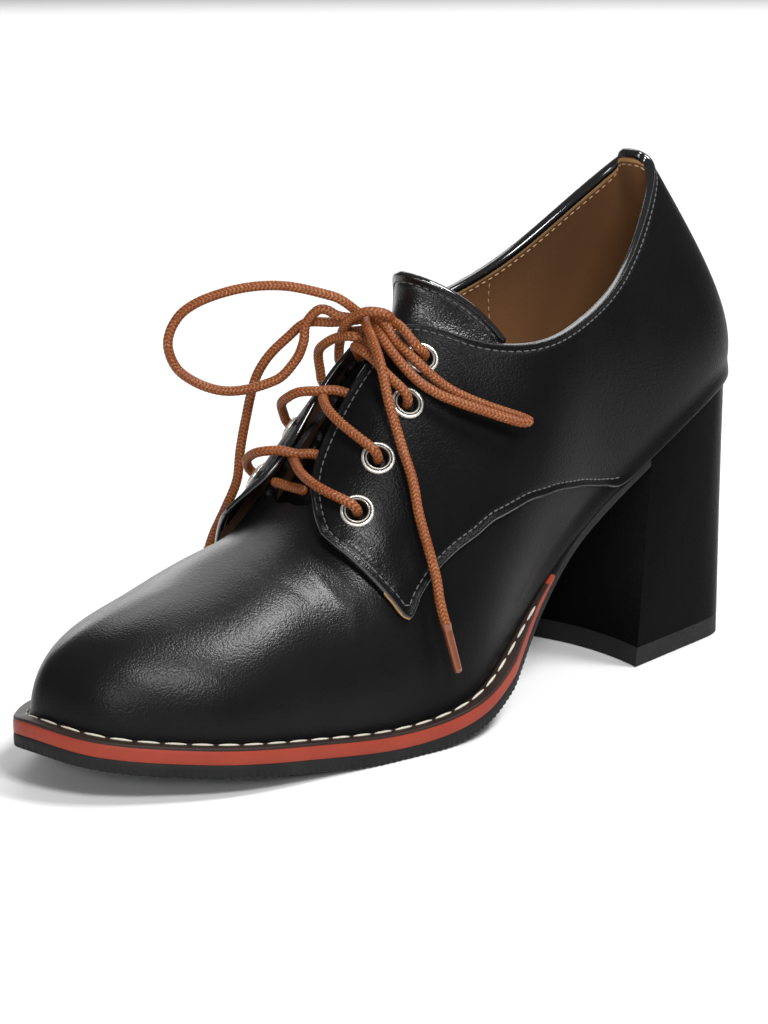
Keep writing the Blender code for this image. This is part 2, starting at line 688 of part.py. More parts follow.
def eyelet_frame(k, inner):
    """Centre on the quarter's outer face and unit normal of eyelet k."""
    row = EYELETS[k]
    u = np.array([ROUND - row.inner_u if inner else row.outer_u])
    v = np.array([row.inner_v if inner else row.outer_v])
    off = flap(u, v) - sink(u) + OVER_GAP + OVERLAY
    e = 0.02
    a = shell(u + e, v, flap(u + e, v) - sink(u + e) + OVER_GAP + OVERLAY)
    b = shell(u - e, v, flap(u - e, v) - sink(u - e) + OVER_GAP + OVERLAY)
    c = shell(u, v + e, flap(u, v + e) - sink(u) + OVER_GAP + OVERLAY)
    d = shell(u, v - e, flap(u, v - e) - sink(u) + OVER_GAP + OVERLAY)
    n = np.cross((c - d)[0], (a - b)[0])
    n /= np.linalg.norm(n)
    if n @ normal(u, v)[0] < 0:
        n = -n
    return shell(u, v, off)[0], n


def turned(profile, centre, axis, segments):
    """Ring turned from radius, height rows about an axis."""
    side = np.cross(axis, (0.0, 0.0, 1.0))
    side /= np.linalg.norm(side)
    other = np.cross(axis, side)
    body = Body()
    rows = []
    for s in range(segments):
        a = 2 * np.pi * s / segments
        arm = side * np.cos(a) + other * np.sin(a)
        rows.append(body.add([centre + arm * r + axis * h for r, h in profile]))
    rows = [r + [r[0]] for r in rows]
    body.quads(rows + [rows[0]])
    return body


def make_eyelet(k, inner):
    """Flanged ring with a barrel through the facing."""
    centre, axis = eyelet_frame(k, inner)
    low = -OVERLAY + 0.1
    base = 0.32
    top = base + EYELET_RISE
    profile = ((BORE_R, low), (BORE_R, top - 0.25), (BORE_R + 0.35, top), (EYELET_R - 0.55, top),
               (EYELET_R, base), (BARREL_R, base), (BARREL_R, low))
    return turned(profile, centre, axis, 12)


def cut_bores(obj, inner):
    """Cuts the eyelets' seats out of a quarter."""
    for k in range(len(EYELETS)):
        centre, axis = eyelet_frame(k, inner)
        rim = ((0.0, -4.0), (BARREL_R + 0.3, -4.0), (BARREL_R + 0.3, 4.0), (0.0, 4.0))
        cutter = solid("cut_%s_%d" % (obj.name, k), turned(rim, centre, axis, 12), "eyelet")
        cutter.hide_render = True
        cutter.display_type = "WIRE"
        mod = obj.modifiers.new("bore_%d" % k, "BOOLEAN")
        mod.operation = "DIFFERENCE"
        mod.solver = "EXACT"
        mod.object = cutter


def strand(k, inner):
    """Route of a lace strand: up out of eyelet k, over its facing's edge and under the other facing."""
    centre, axis = eyelet_frame(k, inner)
    rest = [np.array(p) for p in (STRANDS_INNER if inner else STRANDS_OUTER)[k]]
    run = rest[0] - centre
    run = run - axis * (run @ axis)
    run /= np.linalg.norm(run)
    return [centre + run * along + axis * up for along, up in STRAND_RISE] + rest


def sweep(route, count, sides=7):
    """Round cord along a route, with flat ends."""
    path = smooth_rows(route, count)
    t = np.gradient(path, axis=0)
    t /= np.linalg.norm(t, axis=1, keepdims=True)
    body = Body()
    rows = []
    ref = np.cross(t[0], (0.0, 0.0, 1.0))
    for p, d in zip(path, t):
        ref = ref - d * (ref @ d)
        ref /= np.linalg.norm(ref)
        other = np.cross(d, ref)
        a = np.linspace(0.0, 2 * np.pi, sides, endpoint=False)
        ring = p + 0.5 * LACE * (np.cos(a)[:, None] * ref + np.sin(a)[:, None] * other)
        rows.append(body.add(ring))
    rows = [r + [r[0]] for r in rows]
    body.quads(rows)
    body.faces.append(tuple(rows[0][:-1][::-1]))
    body.faces.append(tuple(rows[-1][:-1]))
    return body


def make_cross(k):
    """Joins the two strands that cross between eyelets k and k + 1."""
    low = solid("lace_cross_%d" % (k + 1), sweep(strand(k, False), 15), "lace")
    high = solid("join_cross_%d" % (k + 1), sweep(strand(k, True), 15), "lace")
    high.hide_render = True
    high.display_type = "WIRE"
    mod = low.modifiers.new("join", "BOOLEAN")
    mod.operation = "UNION"
    mod.solver = "EXACT"
    mod.object = high


def make_bar():
    """Bar of the lace at the foot of the throat."""
    return sweep(BAR, 6)


def cord(name, route, count):
    """Free cord as a round tube along a smooth curve through its route."""
    curve = bpy.data.curves.new(name, "CURVE")
    curve.dimensions = "3D"
    curve.bevel_depth = 0.5 * LACE * MM
    curve.bevel_resolution = 2
    curve.use_fill_caps = True
    points = to_world(smooth_rows(route, count))
    spline = curve.splines.new("POLY")
    spline.points.add(count - 1)
    for point, p in zip(spline.points, points):
        point.co = (*p, 1.0)
    obj = bpy.data.objects.new(name, curve)
    curve.materials.append(material("lace"))
    bpy.context.scene.collection.objects.link(obj)


def top_route(inner, rest):
    """Route from the top eyelet to the knot."""
    centre, axis = eyelet_frame(len(EYELETS) - 1, inner)
    return [centre - axis * 0.7, centre + axis * 2.5] + [np.array(p) for p in rest]


def make_lace():
    """The lace: bar, crossings, then the bow's free cords."""
    solid("lace_bar", make_bar(), "lace")
    for k in range(len(EYELETS) - 1):
        make_cross(k)
    cord("lace_top_outer", top_route(False, TOP_OUTER), 5)
    cord("lace_top_inner", top_route(True, TOP_INNER), 5)
    cord("lace_knot", KNOT_BAND, 7)
    cord("lace_loop_outer", LOOP_OUTER, 17)
    cord("lace_loop_inner", LOOP_INNER, 18)
    cord("lace_end_outer", END_OUTER, 14)
    cord("lace_end_inner", END_INNER, 14)


def clear_scene():
    """Removes whatever the scene holds."""
    for obj in list(bpy.data.objects):
        bpy.data.objects.remove(obj, do_unlink=True)


def main():
    """Builds the shoe, sole first."""
    clear_scene()
    solid("outsole", make_outsole(), "outsole")
    solid("midsole", make_midsole(), "midsole")
    solid("welt", make_welt(), "welt")
    solid("heel", make_heel(), "heel")
    solid("heel_toplift", make_lift(), "heel_toplift")
    solid("insole", make_insole(), "insole")
    solid("upper", make_upper(), "upper")
    for inner, side in ((False, "outer"), (True, "inner")):
        quarter = solid("quarter_" + side, make_quarter(inner), "quarter")
        cut_bores(quarter, inner)
        for k in range(len(EYELETS)):
            solid("eyelet_%s_%d" % (side, k + 1), make_eyelet(k, inner), "eyelet")
    solid("tongue", make_tongue(), "tongue")
    make_lace()


# Middle of the whole shoe's box, fwd and out
CENTRE = (115.18, 0.61)

main()
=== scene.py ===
"""Looks of a block heel lace-up shoe, a left derby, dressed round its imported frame."""

import logging
import math
from dataclasses import dataclass, field
from enum import Enum
from typing import Callable, Sequence

import bmesh
import bpy
import numpy as np
from mathutils import Matrix, Vector
from mathutils.bvhtree import BVHTree


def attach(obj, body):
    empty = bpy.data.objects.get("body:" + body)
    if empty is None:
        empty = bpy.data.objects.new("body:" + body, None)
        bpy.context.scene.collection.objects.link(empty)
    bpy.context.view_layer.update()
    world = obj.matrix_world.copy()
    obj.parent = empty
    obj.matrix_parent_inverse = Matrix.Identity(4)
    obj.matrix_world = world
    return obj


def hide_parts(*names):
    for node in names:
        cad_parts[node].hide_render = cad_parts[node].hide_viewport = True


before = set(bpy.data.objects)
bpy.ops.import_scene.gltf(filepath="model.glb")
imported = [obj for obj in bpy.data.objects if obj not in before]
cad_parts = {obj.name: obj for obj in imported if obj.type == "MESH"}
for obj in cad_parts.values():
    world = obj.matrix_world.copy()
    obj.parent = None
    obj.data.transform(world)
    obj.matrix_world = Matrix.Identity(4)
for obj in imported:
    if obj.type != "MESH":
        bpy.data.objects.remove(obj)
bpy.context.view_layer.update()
LOG = logging.getLogger("shoe")

# Millimetres are used for every size of the shoe; meshes are written in metres
MM = 0.001
CENTRE_FWD = 115.18
CENTRE_OUT = 0.61
BODY = "root"
Array = np.ndarray
Pair = tuple[Array, Array]
Curve = Callable[[Array], Array]
Piece = bpy.types.Object
Node = bpy.types.Node
NodeTree = bpy.types.NodeTree
Socket = bpy.types.NodeSocket
Colour = tuple[float, float, float]


class Side(Enum):
    """Side of the foot."""

    OUTER = 1.0
    INNER = -1.0


def ease(x: Array | float, a: float, b: float) -> Array:
    """Smooth step.

    Args:
        x: Values to read.
        a: Where the step begins.
        b: Where it ends.

    Returns:
        0 at a, 1 at b and a smooth run between them.
    """
    t = np.clip((np.asarray(x, float) - a) / (b - a), 0.0, 1.0)
    return t * t * (3.0 - 2.0 * t)


def hump(x: Array | float, centre: float, width: float) -> Array:
    """Bell of height 1 at centre, with the given half width."""
    return np.exp(-(((np.asarray(x, float) - centre) / width) ** 2))


def to_frame(points: Array) -> Array:
    """Points of fwd, out, z in millimetres, in the frame's metres."""
    p = np.asarray(points, float)
    return np.stack([p[..., 1] - CENTRE_OUT, CENTRE_FWD - p[..., 0], p[..., 2]], -1) * MM


def unit(v: Array) -> Array:
    """Vectors at length 1."""
    return v / np.maximum(np.linalg.norm(v, axis=-1, keepdims=True), 1e-12)


def direction(vectors: Array) -> Array:
    """Directions of fwd, out, z in the frame's axes, at its scale."""
    return to_frame(vectors) - to_frame(np.zeros(3))


def run_along(path: Array) -> Array:
    """Distance along a path to each of its points."""
    return np.concatenate([[0.0], np.cumsum(np.linalg.norm(np.diff(path, axis=0), axis=1))])


def per_face(values: Array) -> Array:
    """Mean of a grid's values over the four corners of each face."""
    return 0.25 * (values[:-1, :-1] + values[1:, :-1] + values[:-1, 1:] + values[1:, 1:])


def looped(grid: Array) -> Array:
    """A grid of point numbers with its first column again at its end."""
    return np.concatenate([grid, grid[:, :1]], 1)


def even(path: Array, step: float) -> Array:
    """Reads a path again at even distances.

    Args:
        path: Points along it.
        step: Distance wanted between two points.

    Returns:
        Points about step apart, with both ends kept.
    """
    run = run_along(path)
    at = np.linspace(0.0, run[-1], max(2, int(round(run[-1] / step)) + 1))
    return np.stack([np.interp(at, run, path[:, k]) for k in range(path.shape[1])], 1)


def smooth_rows(rows: Sequence[Sequence[float]], count: int) -> Array:
    """Reads a short table on a smooth curve through its rows.

    Args:
        rows: Rows whose first three columns are a place.
        count: Number of rows wanted.

    Returns:
        The rows read.
    """
    y = np.array(rows, float)
    run = run_along(y[:, :3])
    slope = np.zeros_like(y)
    slope[1:-1] = (y[2:] - y[:-2]) / (run[2:] - run[:-2])[:, None]
    slope[0] = (y[1] - y[0]) / (run[1] - run[0])
    slope[-1] = (y[-1] - y[-2]) / (run[-1] - run[-2])
    at = np.linspace(0.0, run[-1], count)
    i = np.clip(np.searchsorted(run, at, side="right") - 1, 0, len(y) - 2)
    h = (run[i + 1] - run[i])[:, None]
    t = (at[:, None] - run[i][:, None]) / h
    a = 2 * t ** 3 - 3 * t ** 2 + 1
    b = t ** 3 - 2 * t ** 2 + t
    c = 3 * t ** 2 - 2 * t ** 3
    d = t ** 3 - t ** 2
    return a * y[i] + b * h * slope[i] + c * y[i + 1] + d * h * slope[i + 1]


def rings(line: Array, ways: Array, radius: Array) -> Array:
    """Rings of a tube round a line, without twist.

    Args:
        line: Centres of the rings.
        ways: Unit direction of the line at each centre.
        radius: Radius of each ring at each of its points.

    Returns:
        The points, a row for each ring.
    """
    turn = np.linspace(0.0, 2 * np.pi, radius.shape[1], endpoint=False)[:, None]
    side = np.cross(ways[0], (0.0, 0.0, 1.0))
    if np.linalg.norm(side) < 0.1:
        side = np.cross(ways[0], (1.0, 0.0, 0.0))
    rows = []
    for centre, way, r in zip(line, ways, radius):
        side = unit(side - way * (side @ way))
        rows.append(centre + r[:, None] * (np.cos(turn) * side + np.sin(turn) * np.cross(way, side)))
    return np.array(rows)


def curve_at(x: Array, xs: Array, ys: Array) -> Array:
    """Reads a short table of one value on a smooth curve that keeps its rises and falls.

    Args:
        x: Where to read.
        xs: Rising places of the rows.
        ys: Values of the rows.

    Returns:
        The values at x.
    """
    h = np.diff(xs)
    d = np.diff(ys) / h
    slope = np.concatenate([d[:1], np.zeros(len(d) - 1), d[-1:]])
    same = np.nonzero(d[:-1] * d[1:] > 0)[0]
    w1, w2 = 2 * h[same + 1] + h[same], h[same + 1] + 2 * h[same]
    slope[same + 1] = (w1 + w2) / (w1 / d[same] + w2 / d[same + 1])
    x = np.asarray(x, float)
    i = np.clip(np.searchsorted(xs, x, side="right") - 1, 0, len(h) - 1)
    t = np.clip((x - xs[i]) / h[i], 0.0, 1.0)
    a, c = 2 * t ** 3 - 3 * t ** 2 + 1, 3 * t ** 2 - 2 * t ** 3
    b, e = t ** 3 - 2 * t ** 2 + t, t ** 3 - t ** 2
    return a * ys[i] + b * h[i] * slope[i] + c * ys[i + 1] + e * h[i] * slope[i + 1]


@dataclass(frozen=True)
class Section:
    """One section of the last: a curve from the feather edge to the top line, bent by two handles."""

    feather_fwd: float
    feather_outer: float
    feather_inner: float
    feather_z: float
    top_fwd: float
    top_half: float
    top_z: float
    low_out: float
    low_up: float
    high_fwd: float
    high_out: float
    high_z: float

    def row(self, side: Side) -> tuple[float, ...]:
        """Columns of one side of the foot, as fwd, out, z places and handles."""
        half = self.feather_outer if side is Side.OUTER else -self.feather_inner
        s = side.value
        return (self.feather_fwd, half, self.feather_z, self.top_fwd, s * self.top_half, self.top_z,
                self.low_out, self.low_up, self.high_fwd, s * self.high_out, self.high_z)


SECTIONS = tuple(Section(*row) for row in (
    (-0.6, 0.0, 0.0, 73.9, 20.5, 0.0, 136.4, 6.0, 17.6, -9.3, 0.0, -20.5),
    (0.3, 15.3, 14.0, 73.4, 19.8, 6.6, 133.4, 7.2, 15.8, -8.2, 8.7, -21.0),
    (15.0, 25.0, 22.8, 69.9, 31.0, 14.5, 122.2, 5.7, 15.4, -2.8, 10.4, -20.1),
    (41.5, 27.1, 22.9, 57.7, 50.3, 22.5, 107.5, 4.2, 15.9, -1.1, 7.6, -16.3),
    (68.1, 27.0, 20.5, 42.7, 70.7, 27.1, 99.2, 4.3, 17.6, -0.1, 6.3, -16.2),
    (91.3, 30.0, 23.1, 27.5, 86.9, 26.5, 95.6, 4.9, 20.3, 0.1, 7.9, -18.0),
    (109.3, 35.4, 29.1, 16.9, 100.9, 17.5, 96.7, 4.9, 22.2, 0.2, 11.9, -16.0),
    (124.8, 39.2, 34.6, 10.4, 113.1, 5.0, 100.3, 4.9, 21.9, 0.9, 15.9, -8.4),
    (141.6, 38.7, 37.9, 7.6, 128.5, 0.0, 88.5, 4.0, 20.9, 5.7, 19.9, -5.9),
    (159.0, 36.8, 38.2, 7.8, 148.3, 0.0, 61.8, 3.1, 19.1, 4.9, 20.7, -4.6),
    (176.6, 34.6, 36.6, 9.7, 166.5, 0.0, 51.4, 2.2, 18.0, 5.3, 21.3, -2.2),
    (195.9, 31.4, 32.2, 12.0, 183.1, 0.0, 46.5, 2.0, 15.5, 8.0, 18.9, -2.0),
    (212.3, 22.9, 25.7, 14.0, 193.7, 0.0, 44.2, 1.2, 15.7, 13.1, 13.5, -2.6),
    (225.4, 10.1, 14.5, 16.2, 198.8, 0.0, 43.2, 0.0, 16.4, 16.6, 7.5, -3.3),
    (229.4, -5.5, 5.5, 18.0, 199.8, 0.0, 43.0, -0.8, 16.7, 18.0, 0.0, -3.6),
))


@dataclass(frozen=True)
class InnerTop:
    """Top handle of a section's inner side, where it falls from the instep more steeply than the outer."""

    section: int
    high_fwd: float
    high_out: float
    high_z: float


INNER_TOP = tuple(InnerTop(*row) for row in (
    (6, 0.2, 11.4, -16.6), (7, 0.9, 11.0, -12.4), (8, 5.7, 11.0, -10.0), (9, 4.9, 16.5, -5.8),
))
# How far the sole's edge stands out from the feather edge, per section
MARGIN = (0.3, 0.3, 0.3, 0.3, 0.3, 1.6, 4.0, 4.0, 3.8, 3.8, 3.9, 3.9, 3.9, 4.2, 4.0)


class LastForm:
    """Outer form of the upper: a closed ring of sections, outer side forwards and inner side back."""

    toe = len(SECTIONS) - 1
    ring = 2 * toe
    # Section behind which the collar is open over its whole width
    open_from = 5.0

    def __init__(self) -> None:
        """Solves the smooth closed curve through the section rows."""
        rows = [SECTIONS[k].row(Side.OUTER) for k in range(self.toe + 1)]
        rows += [SECTIONS[self.ring - k].row(Side.INNER) for k in range(self.toe + 1, self.ring)]
        for top in INNER_TOP:
            k = self.ring - top.section
            rows[k] = (*rows[k][:8], top.high_fwd, -top.high_out, top.high_z)
        self.rows = np.array(rows)
        eye = np.eye(self.ring)
        a = 4.0 * eye + np.roll(eye, 1, 0) + np.roll(eye, -1, 0)
        b = 6.0 * (np.roll(self.rows, -1, 0) - 2.0 * self.rows + np.roll(self.rows, 1, 0))
        self.bend = np.linalg.solve(a, b)

    def folded(self, u: Array) -> Array:
        """Section numbers counted from the heel on either side."""
        u = np.asarray(u, float)
        return np.where(u > self.toe, self.ring - u, u)

    def number(self, u: Array | float, side: Side) -> Array:
        """Ring numbers of section numbers on one side."""
        u = np.asarray(u, float)
        return u if side is Side.OUTER else self.ring - u

    def columns(self, u: Array) -> Pair:
        """Reads the section rows.

        Args:
            u: Ring numbers.

        Returns:
            The rows there and their slopes.
        """
        u = np.mod(np.asarray(u, float), self.ring)
        i = np.floor(u).astype(int) % self.ring
        j = (i + 1) % self.ring
        t = (u - np.floor(u))[:, None]
        s = 1.0 - t
        y, m = self.rows, self.bend
        value = y[i] * s + y[j] * t + (s ** 3 - s) * m[i] / 6 + (t ** 3 - t) * m[j] / 6
        slope = y[j] - y[i] + (1 - 3 * s ** 2) * m[i] / 6 + (3 * t ** 2 - 1) * m[j] / 6
        return value, slope

    def point(self, u: Array, v: Array) -> Array:
        """Places on the form.

        Args:
            u: Ring numbers.
            v: Height shares.

        Returns:
            The places as fwd, out, z.
        """
        u, v = np.broadcast_arrays(np.asarray(u, float), np.asarray(v, float))
        shape = u.shape
        v = v.reshape(-1, 1)
        r, slope = self.columns(u.reshape(-1))
        d = unit(slope[:, :2])
        out = np.stack([-d[:, 1], d[:, 0]], 1)
        p0 = r[:, :3]
        p1 = p0 + np.column_stack([out * r[:, 6:7], r[:, 7]])
        p3 = r[:, 3:6]
        p2 = p3 + r[:, 8:11]
        w = 1.0 - v
        p = p0 * w ** 3 + 3 * p1 * v * w ** 2 + 3 * p2 * v ** 2 * w + p3 * v ** 3
        return p.reshape(*shape, 3)

    def normal(self, u: Array, v: Array) -> Array:
        """Outward unit normals of the form."""
        e = 1e-3
        v = np.clip(np.asarray(v, float), 0.0, 1.0)
        across = self.point(u + e, v) - self.point(u - e, v)
        up = self.point(u, np.clip(v + e, 0, 1)) - self.point(u, np.clip(v - e, 0, 1))
        return unit(np.cross(up, across))

    def shell(self, u: Array, v: Array, off: Array) -> Array:
        """Form places moved out by off."""
        return self.point(u, v) + self.normal(u, v) * np.asarray(off, float)[..., None]

    def share_at(self, u: Array, half: Array) -> Array:
        """Height share where each section comes near the middle, or its top line.

        Args:
            u: Ring numbers.
            half: How near to the middle.

        Returns:
            The height shares.
        """
        u = np.asarray(u, float)
        lo = np.full(u.shape, 0.45)
        hi = np.ones(u.shape)
        stays_wide = np.abs(self.point(u, hi)[..., 1]) >= half
        for _ in range(40):
            mid = 0.5 * (lo + hi)
            wide = np.abs(self.point(u, mid)[..., 1]) > half
            lo = np.where(wide, mid, lo)
            hi = np.where(wide, hi, mid)
        return np.where(stays_wide | (self.folded(u) < self.open_from), 1.0, 0.5 * (lo + hi))

    def height(self, u: Array, low: Array, high: Array, steps: int = 24) -> Array:
        """Length of each section's curve between two height shares."""
        t = np.linspace(0.0, 1.0, steps)[:, None]
        p = self.point(np.broadcast_to(u, (steps, len(u))), low + (high - low) * t)
        return np.linalg.norm(np.diff(p, axis=0), axis=2).sum(0)

    def seat(self, u: Array) -> Array:
        """Height of the feather edge, where upper and sole meet."""
        return self.columns(u)[0][:, 2]

    def feather(self, u: Array, out: Array | float) -> Array:
        """Feather edge moved out in plan."""
        r, slope = self.columns(u)
        d = unit(slope[:, :2])
        n = np.stack([-d[:, 1], d[:, 0]], 1)
        plan = r[:, :2] + n * np.broadcast_to(np.asarray(out, float), (len(r),))[:, None]
        return np.column_stack([plan, r[:, 2]])

    def margin(self, u: Array) -> Array:
        """Stand-out of the sole's edge."""
        return np.interp(self.folded(u), np.arange(self.toe + 1), MARGIN)


LAST = LastForm()


class NodeBoard:
    """Places the nodes of one tree and wires them."""

    def __init__(self, tree: NodeTree) -> None:
        """Takes the tree to work on."""
        self.tree = tree
        self.column = 0

    def add(self, kind: str, inputs: dict | None = None, **settings: object) -> Node:
        """Adds a node.

        Args:
            kind: The node's type name.
            inputs: Values or sockets for its inputs, by name or number.
            settings: Values for the node's own properties.

        Returns:
            The new node.
        """
        node = self.tree.nodes.new(kind)
        node.location = (200 * self.column, 0)
        self.column += 1
        for name, value in settings.items():
            setattr(node, name, value)
        self.feed(node, inputs or {})
        return node

    def feed(self, node: Node, inputs: dict) -> None:
        """Gives a node its inputs.

        Args:
            node: The node.
            inputs: Values or sockets, by name or number of the input.
        """
        for name, value in inputs.items():
            if isinstance(value, Socket):
                self.tree.links.new(value, node.inputs[name])
            else:
                node.inputs[name].default_value = value

    def surface(self, inputs: dict) -> None:
        """Gives a material's Principled node its inputs."""
        self.feed(self.tree.nodes["Principled BSDF"], inputs)

    def math(self, operation: str, a: object, b: object) -> Socket:
        """Result of a sum of two values or sockets."""
        return self.add("ShaderNodeMath", {0: a, 1: b}, operation=operation).outputs[0]

    def mix(self, share: object, a: object, b: object) -> Socket:
        """Mixes two colours.

        Args:
            share: Share of b, as a value or a socket.
            a: Colour or socket at share 0.
            b: Colour or socket at share 1.

        Returns:
            The mixed colour.
        """
        node = self.add("ShaderNodeMix", data_type="RGBA")
        colours = [s for s in node.inputs if s.type == "RGBA"]
        for socket, value in ((node.inputs[0], share), (colours[0], a), (colours[1], b)):
            if isinstance(value, Socket):
                self.tree.links.new(value, socket)
            else:
                socket.default_value = value if isinstance(value, float) else (*value[:3], 1.0)
        return [s for s in node.outputs if s.type == "RGBA"][0]

    def span(self, value: object, low: float, high: float, to_low: float = 0.0,
             to_high: float = 1.0) -> Socket:
        """Value moved from the range low to high to another range, clamped."""
        node = self.add("ShaderNodeMapRange", {0: value, 1: low, 2: high, 3: to_low, 4: to_high})
        return node.outputs[0]


class ShaderGroups:
    """Shader node groups that several finishes share, each built once."""

    made: dict[str, NodeTree] = {}

    @classmethod
    def start(cls, name: str, inputs: dict[str, float],
              outputs: Sequence[str]) -> tuple[NodeBoard, dict, Node]:
        """Begins a group.

        Args:
            name: The group's name.
            inputs: Names and first values of its number inputs.
            outputs: Names of its number outputs.

        Returns:
            The board, its input sockets by name, and its output node.
        """
        tree = bpy.data.node_groups.new(name, "ShaderNodeTree")
        for label, value in inputs.items():
            socket = tree.interface.new_socket(name=label, in_out="INPUT", socket_type="NodeSocketFloat")
            socket.default_value = value
        for label in outputs:
            tree.interface.new_socket(name=label, in_out="OUTPUT", socket_type="NodeSocketFloat")
        board = NodeBoard(tree)
        given = board.add("NodeGroupInput")
        out = board.add("NodeGroupOutput")
        cls.made[name] = tree
        return board, {s.name: s for s in given.outputs}, out

    @classmethod
    def pebble(cls) -> NodeTree:
        """Leather grain: flat pebbles between fine creases, with a slow change of depth."""
        if "pebble grain" in cls.made:
            return cls.made["pebble grain"]
        sizes = {"Scale": 1500.0, "Pull": 0.35}
        board, given, out = cls.start("pebble grain", sizes, ("Height", "Patch"))
        place = board.add("ShaderNodeTexCoord").outputs["Object"]
        warp = board.add("ShaderNodeTexNoise", {"Vector": place, "Scale": 420.0, "Detail": 2.0})
        shift = board.add("ShaderNodeVectorMath", {0: warp.outputs["Color"], 1: (0.5, 0.5, 0.5)},
                          operation="SUBTRACT").outputs[0]
        shift = board.add("ShaderNodeVectorMath", {0: shift, "Scale": 0.0011}, operation="SCALE").outputs[0]
        moved = board.add("ShaderNodeVectorMath", {0: place, 1: shift}, operation="ADD").outputs[0]
        cells = board.add("ShaderNodeTexVoronoi",
                          {"Vector": moved, "Scale": given["Scale"], "Smoothness": 0.6}, feature="SMOOTH_F1")
        fine = board.add("ShaderNodeTexNoise", {"Vector": moved, "Scale": 3200.0, "Detail": 3.0})
        patch = board.add("ShaderNodeTexNoise", {"Vector": place, "Scale": 38.0, "Detail": 2.0})
        domes = board.math("SUBTRACT", 1.0, board.math("MULTIPLY", cells.outputs["Distance"], 1.25))
        depth = board.span(patch.outputs["Fac"], 0.35, 0.7, 0.55, 1.0)
        height = board.math("ADD", board.math("MULTIPLY", domes, depth),
                            board.math("MULTIPLY", fine.outputs["Fac"], given["Pull"]))
        board.feed(out, {"Height": height, "Patch": patch.outputs["Fac"]})
        return board.tree

    @classmethod
    def mottle(cls) -> NodeTree:
        """Cloudy change over a surface at two sizes."""
        if "mottle" in cls.made:
            return cls.made["mottle"]
        board, given, out = cls.start("mottle", {"Scale": 60.0, "Fine": 900.0}, ("Cloud", "Speck"))
        place = board.add("ShaderNodeTexCoord").outputs["Object"]
        cloud = board.add("ShaderNodeTexNoise", {"Vector": place, "Scale": given["Scale"], "Detail": 4.0})
        speck = board.add("ShaderNodeTexNoise", {"Vector": place, "Scale": given["Fine"], "Detail": 3.0})
        board.feed(out, {"Cloud": cloud.outputs["Fac"], "Speck": speck.outputs["Fac"]})
        return board.tree


class Finish:
    """A finish that makes its material once; a larger scale sets its clouds or specks closer."""

    name: str
    cloud_scale: float
    speck_scale: float

    def material(self) -> bpy.types.Material:
        """The finish's material, made at the first call."""
        found = bpy.data.materials.get(self.name)
        if found:
            return found
        mat = bpy.data.materials.new(self.name)
        mat.use_nodes = True
        self.dress(NodeBoard(mat.node_tree))
        return mat

    def dress(self, board: NodeBoard) -> None:
        """Wires the finish's nodes into the shader."""
        raise NotImplementedError

    def clouds(self, board: NodeBoard) -> tuple[Socket, Socket]:
        """Adds a cloudy change over the surface.

        Args:
            board: The material's board.

        Returns:
            The clouds and the specks, each from 0 to 1.
        """
        scales = {"Scale": self.cloud_scale, "Fine": self.speck_scale}
        node = board.add("ShaderNodeGroup", scales, node_tree=ShaderGroups.mottle())
        return node.outputs["Cloud"], node.outputs["Speck"]

    @staticmethod
    def mark(board: NodeBoard) -> Socket:
        """The mark kept with each point of the mesh."""
        return board.add("ShaderNodeAttribute", attribute_name="edge").outputs["Fac"]

    @staticmethod
    def bump(board: NodeBoard, height: Socket, depth: float, strength: float = 1.0) -> None:
        """Adds relief to the shader.

        Args:
            board: The material's board.
            height: Heights from 0 to about 1.
            depth: What a height of 1 stands for, in metres.
            strength: Share of the relief that shows.
        """
        node = board.add("ShaderNodeBump", {"Height": height, "Distance": depth, "Strength": strength})
        board.surface({"Normal": node.outputs["Normal"]})


@dataclass(frozen=True)
class LeatherFinish(Finish):
    """Smooth dyed leather with a fine pebble grain, glossier where its mark of polish is high."""

    name: str
    colour: Colour
    worn: Colour
    roughness: float = 0.33
    edge_roughness: float = 0.26
    grain_scale: float = 1850.0
    grain_depth: float = 0.00009
    shine: float = 0.06
    edge_shine: float = 0.32
    # From this mark on, the leather counts as folded: smoother, shinier and with a flatter grain
    fold_from: float = 0.8
    fold_shine: float = 0.6
    fold_drop: float = 0.16
    fold_flat: float = 0.9
    patchy: float = 0.05
    cloud_scale: float = 60.0
    speck_scale: float = 900.0

    def dress(self, board: NodeBoard) -> None:
        """Wires grain, cloudy colour and glossy edges into the shader.

        Args:
            board: The material's board.
        """
        grain = board.add("ShaderNodeGroup", {"Scale": self.grain_scale}, node_tree=ShaderGroups.pebble())
        cloud, _ = self.clouds(board)
        edge = self.mark(board)
        colour = board.mix(board.span(cloud, 0.3, 0.75), self.colour, self.worn)
        rough = board.span(grain.outputs["Patch"], 0.3, 0.7, self.roughness - self.patchy,
                           self.roughness + self.patchy)
        fold = board.span(edge, self.fold_from, 1.0)
        drop = board.math("ADD", board.math("MULTIPLY", edge, self.roughness - self.edge_roughness),
                          board.math("MULTIPLY", fold, self.fold_drop))
        flat = board.math("SUBTRACT", 1.0, board.math("MULTIPLY", fold, self.fold_flat))
        self.bump(board, board.math("MULTIPLY", grain.outputs["Height"], flat), self.grain_depth)
        shine = board.math("ADD", board.span(edge, 0.0, 1.0, self.shine, self.edge_shine),
                           board.math("MULTIPLY", fold, self.fold_shine))
        board.surface({
            "Base Color": colour,
            "Roughness": board.math("SUBTRACT", rough, drop),
            "Specular IOR Level": shine,
        })


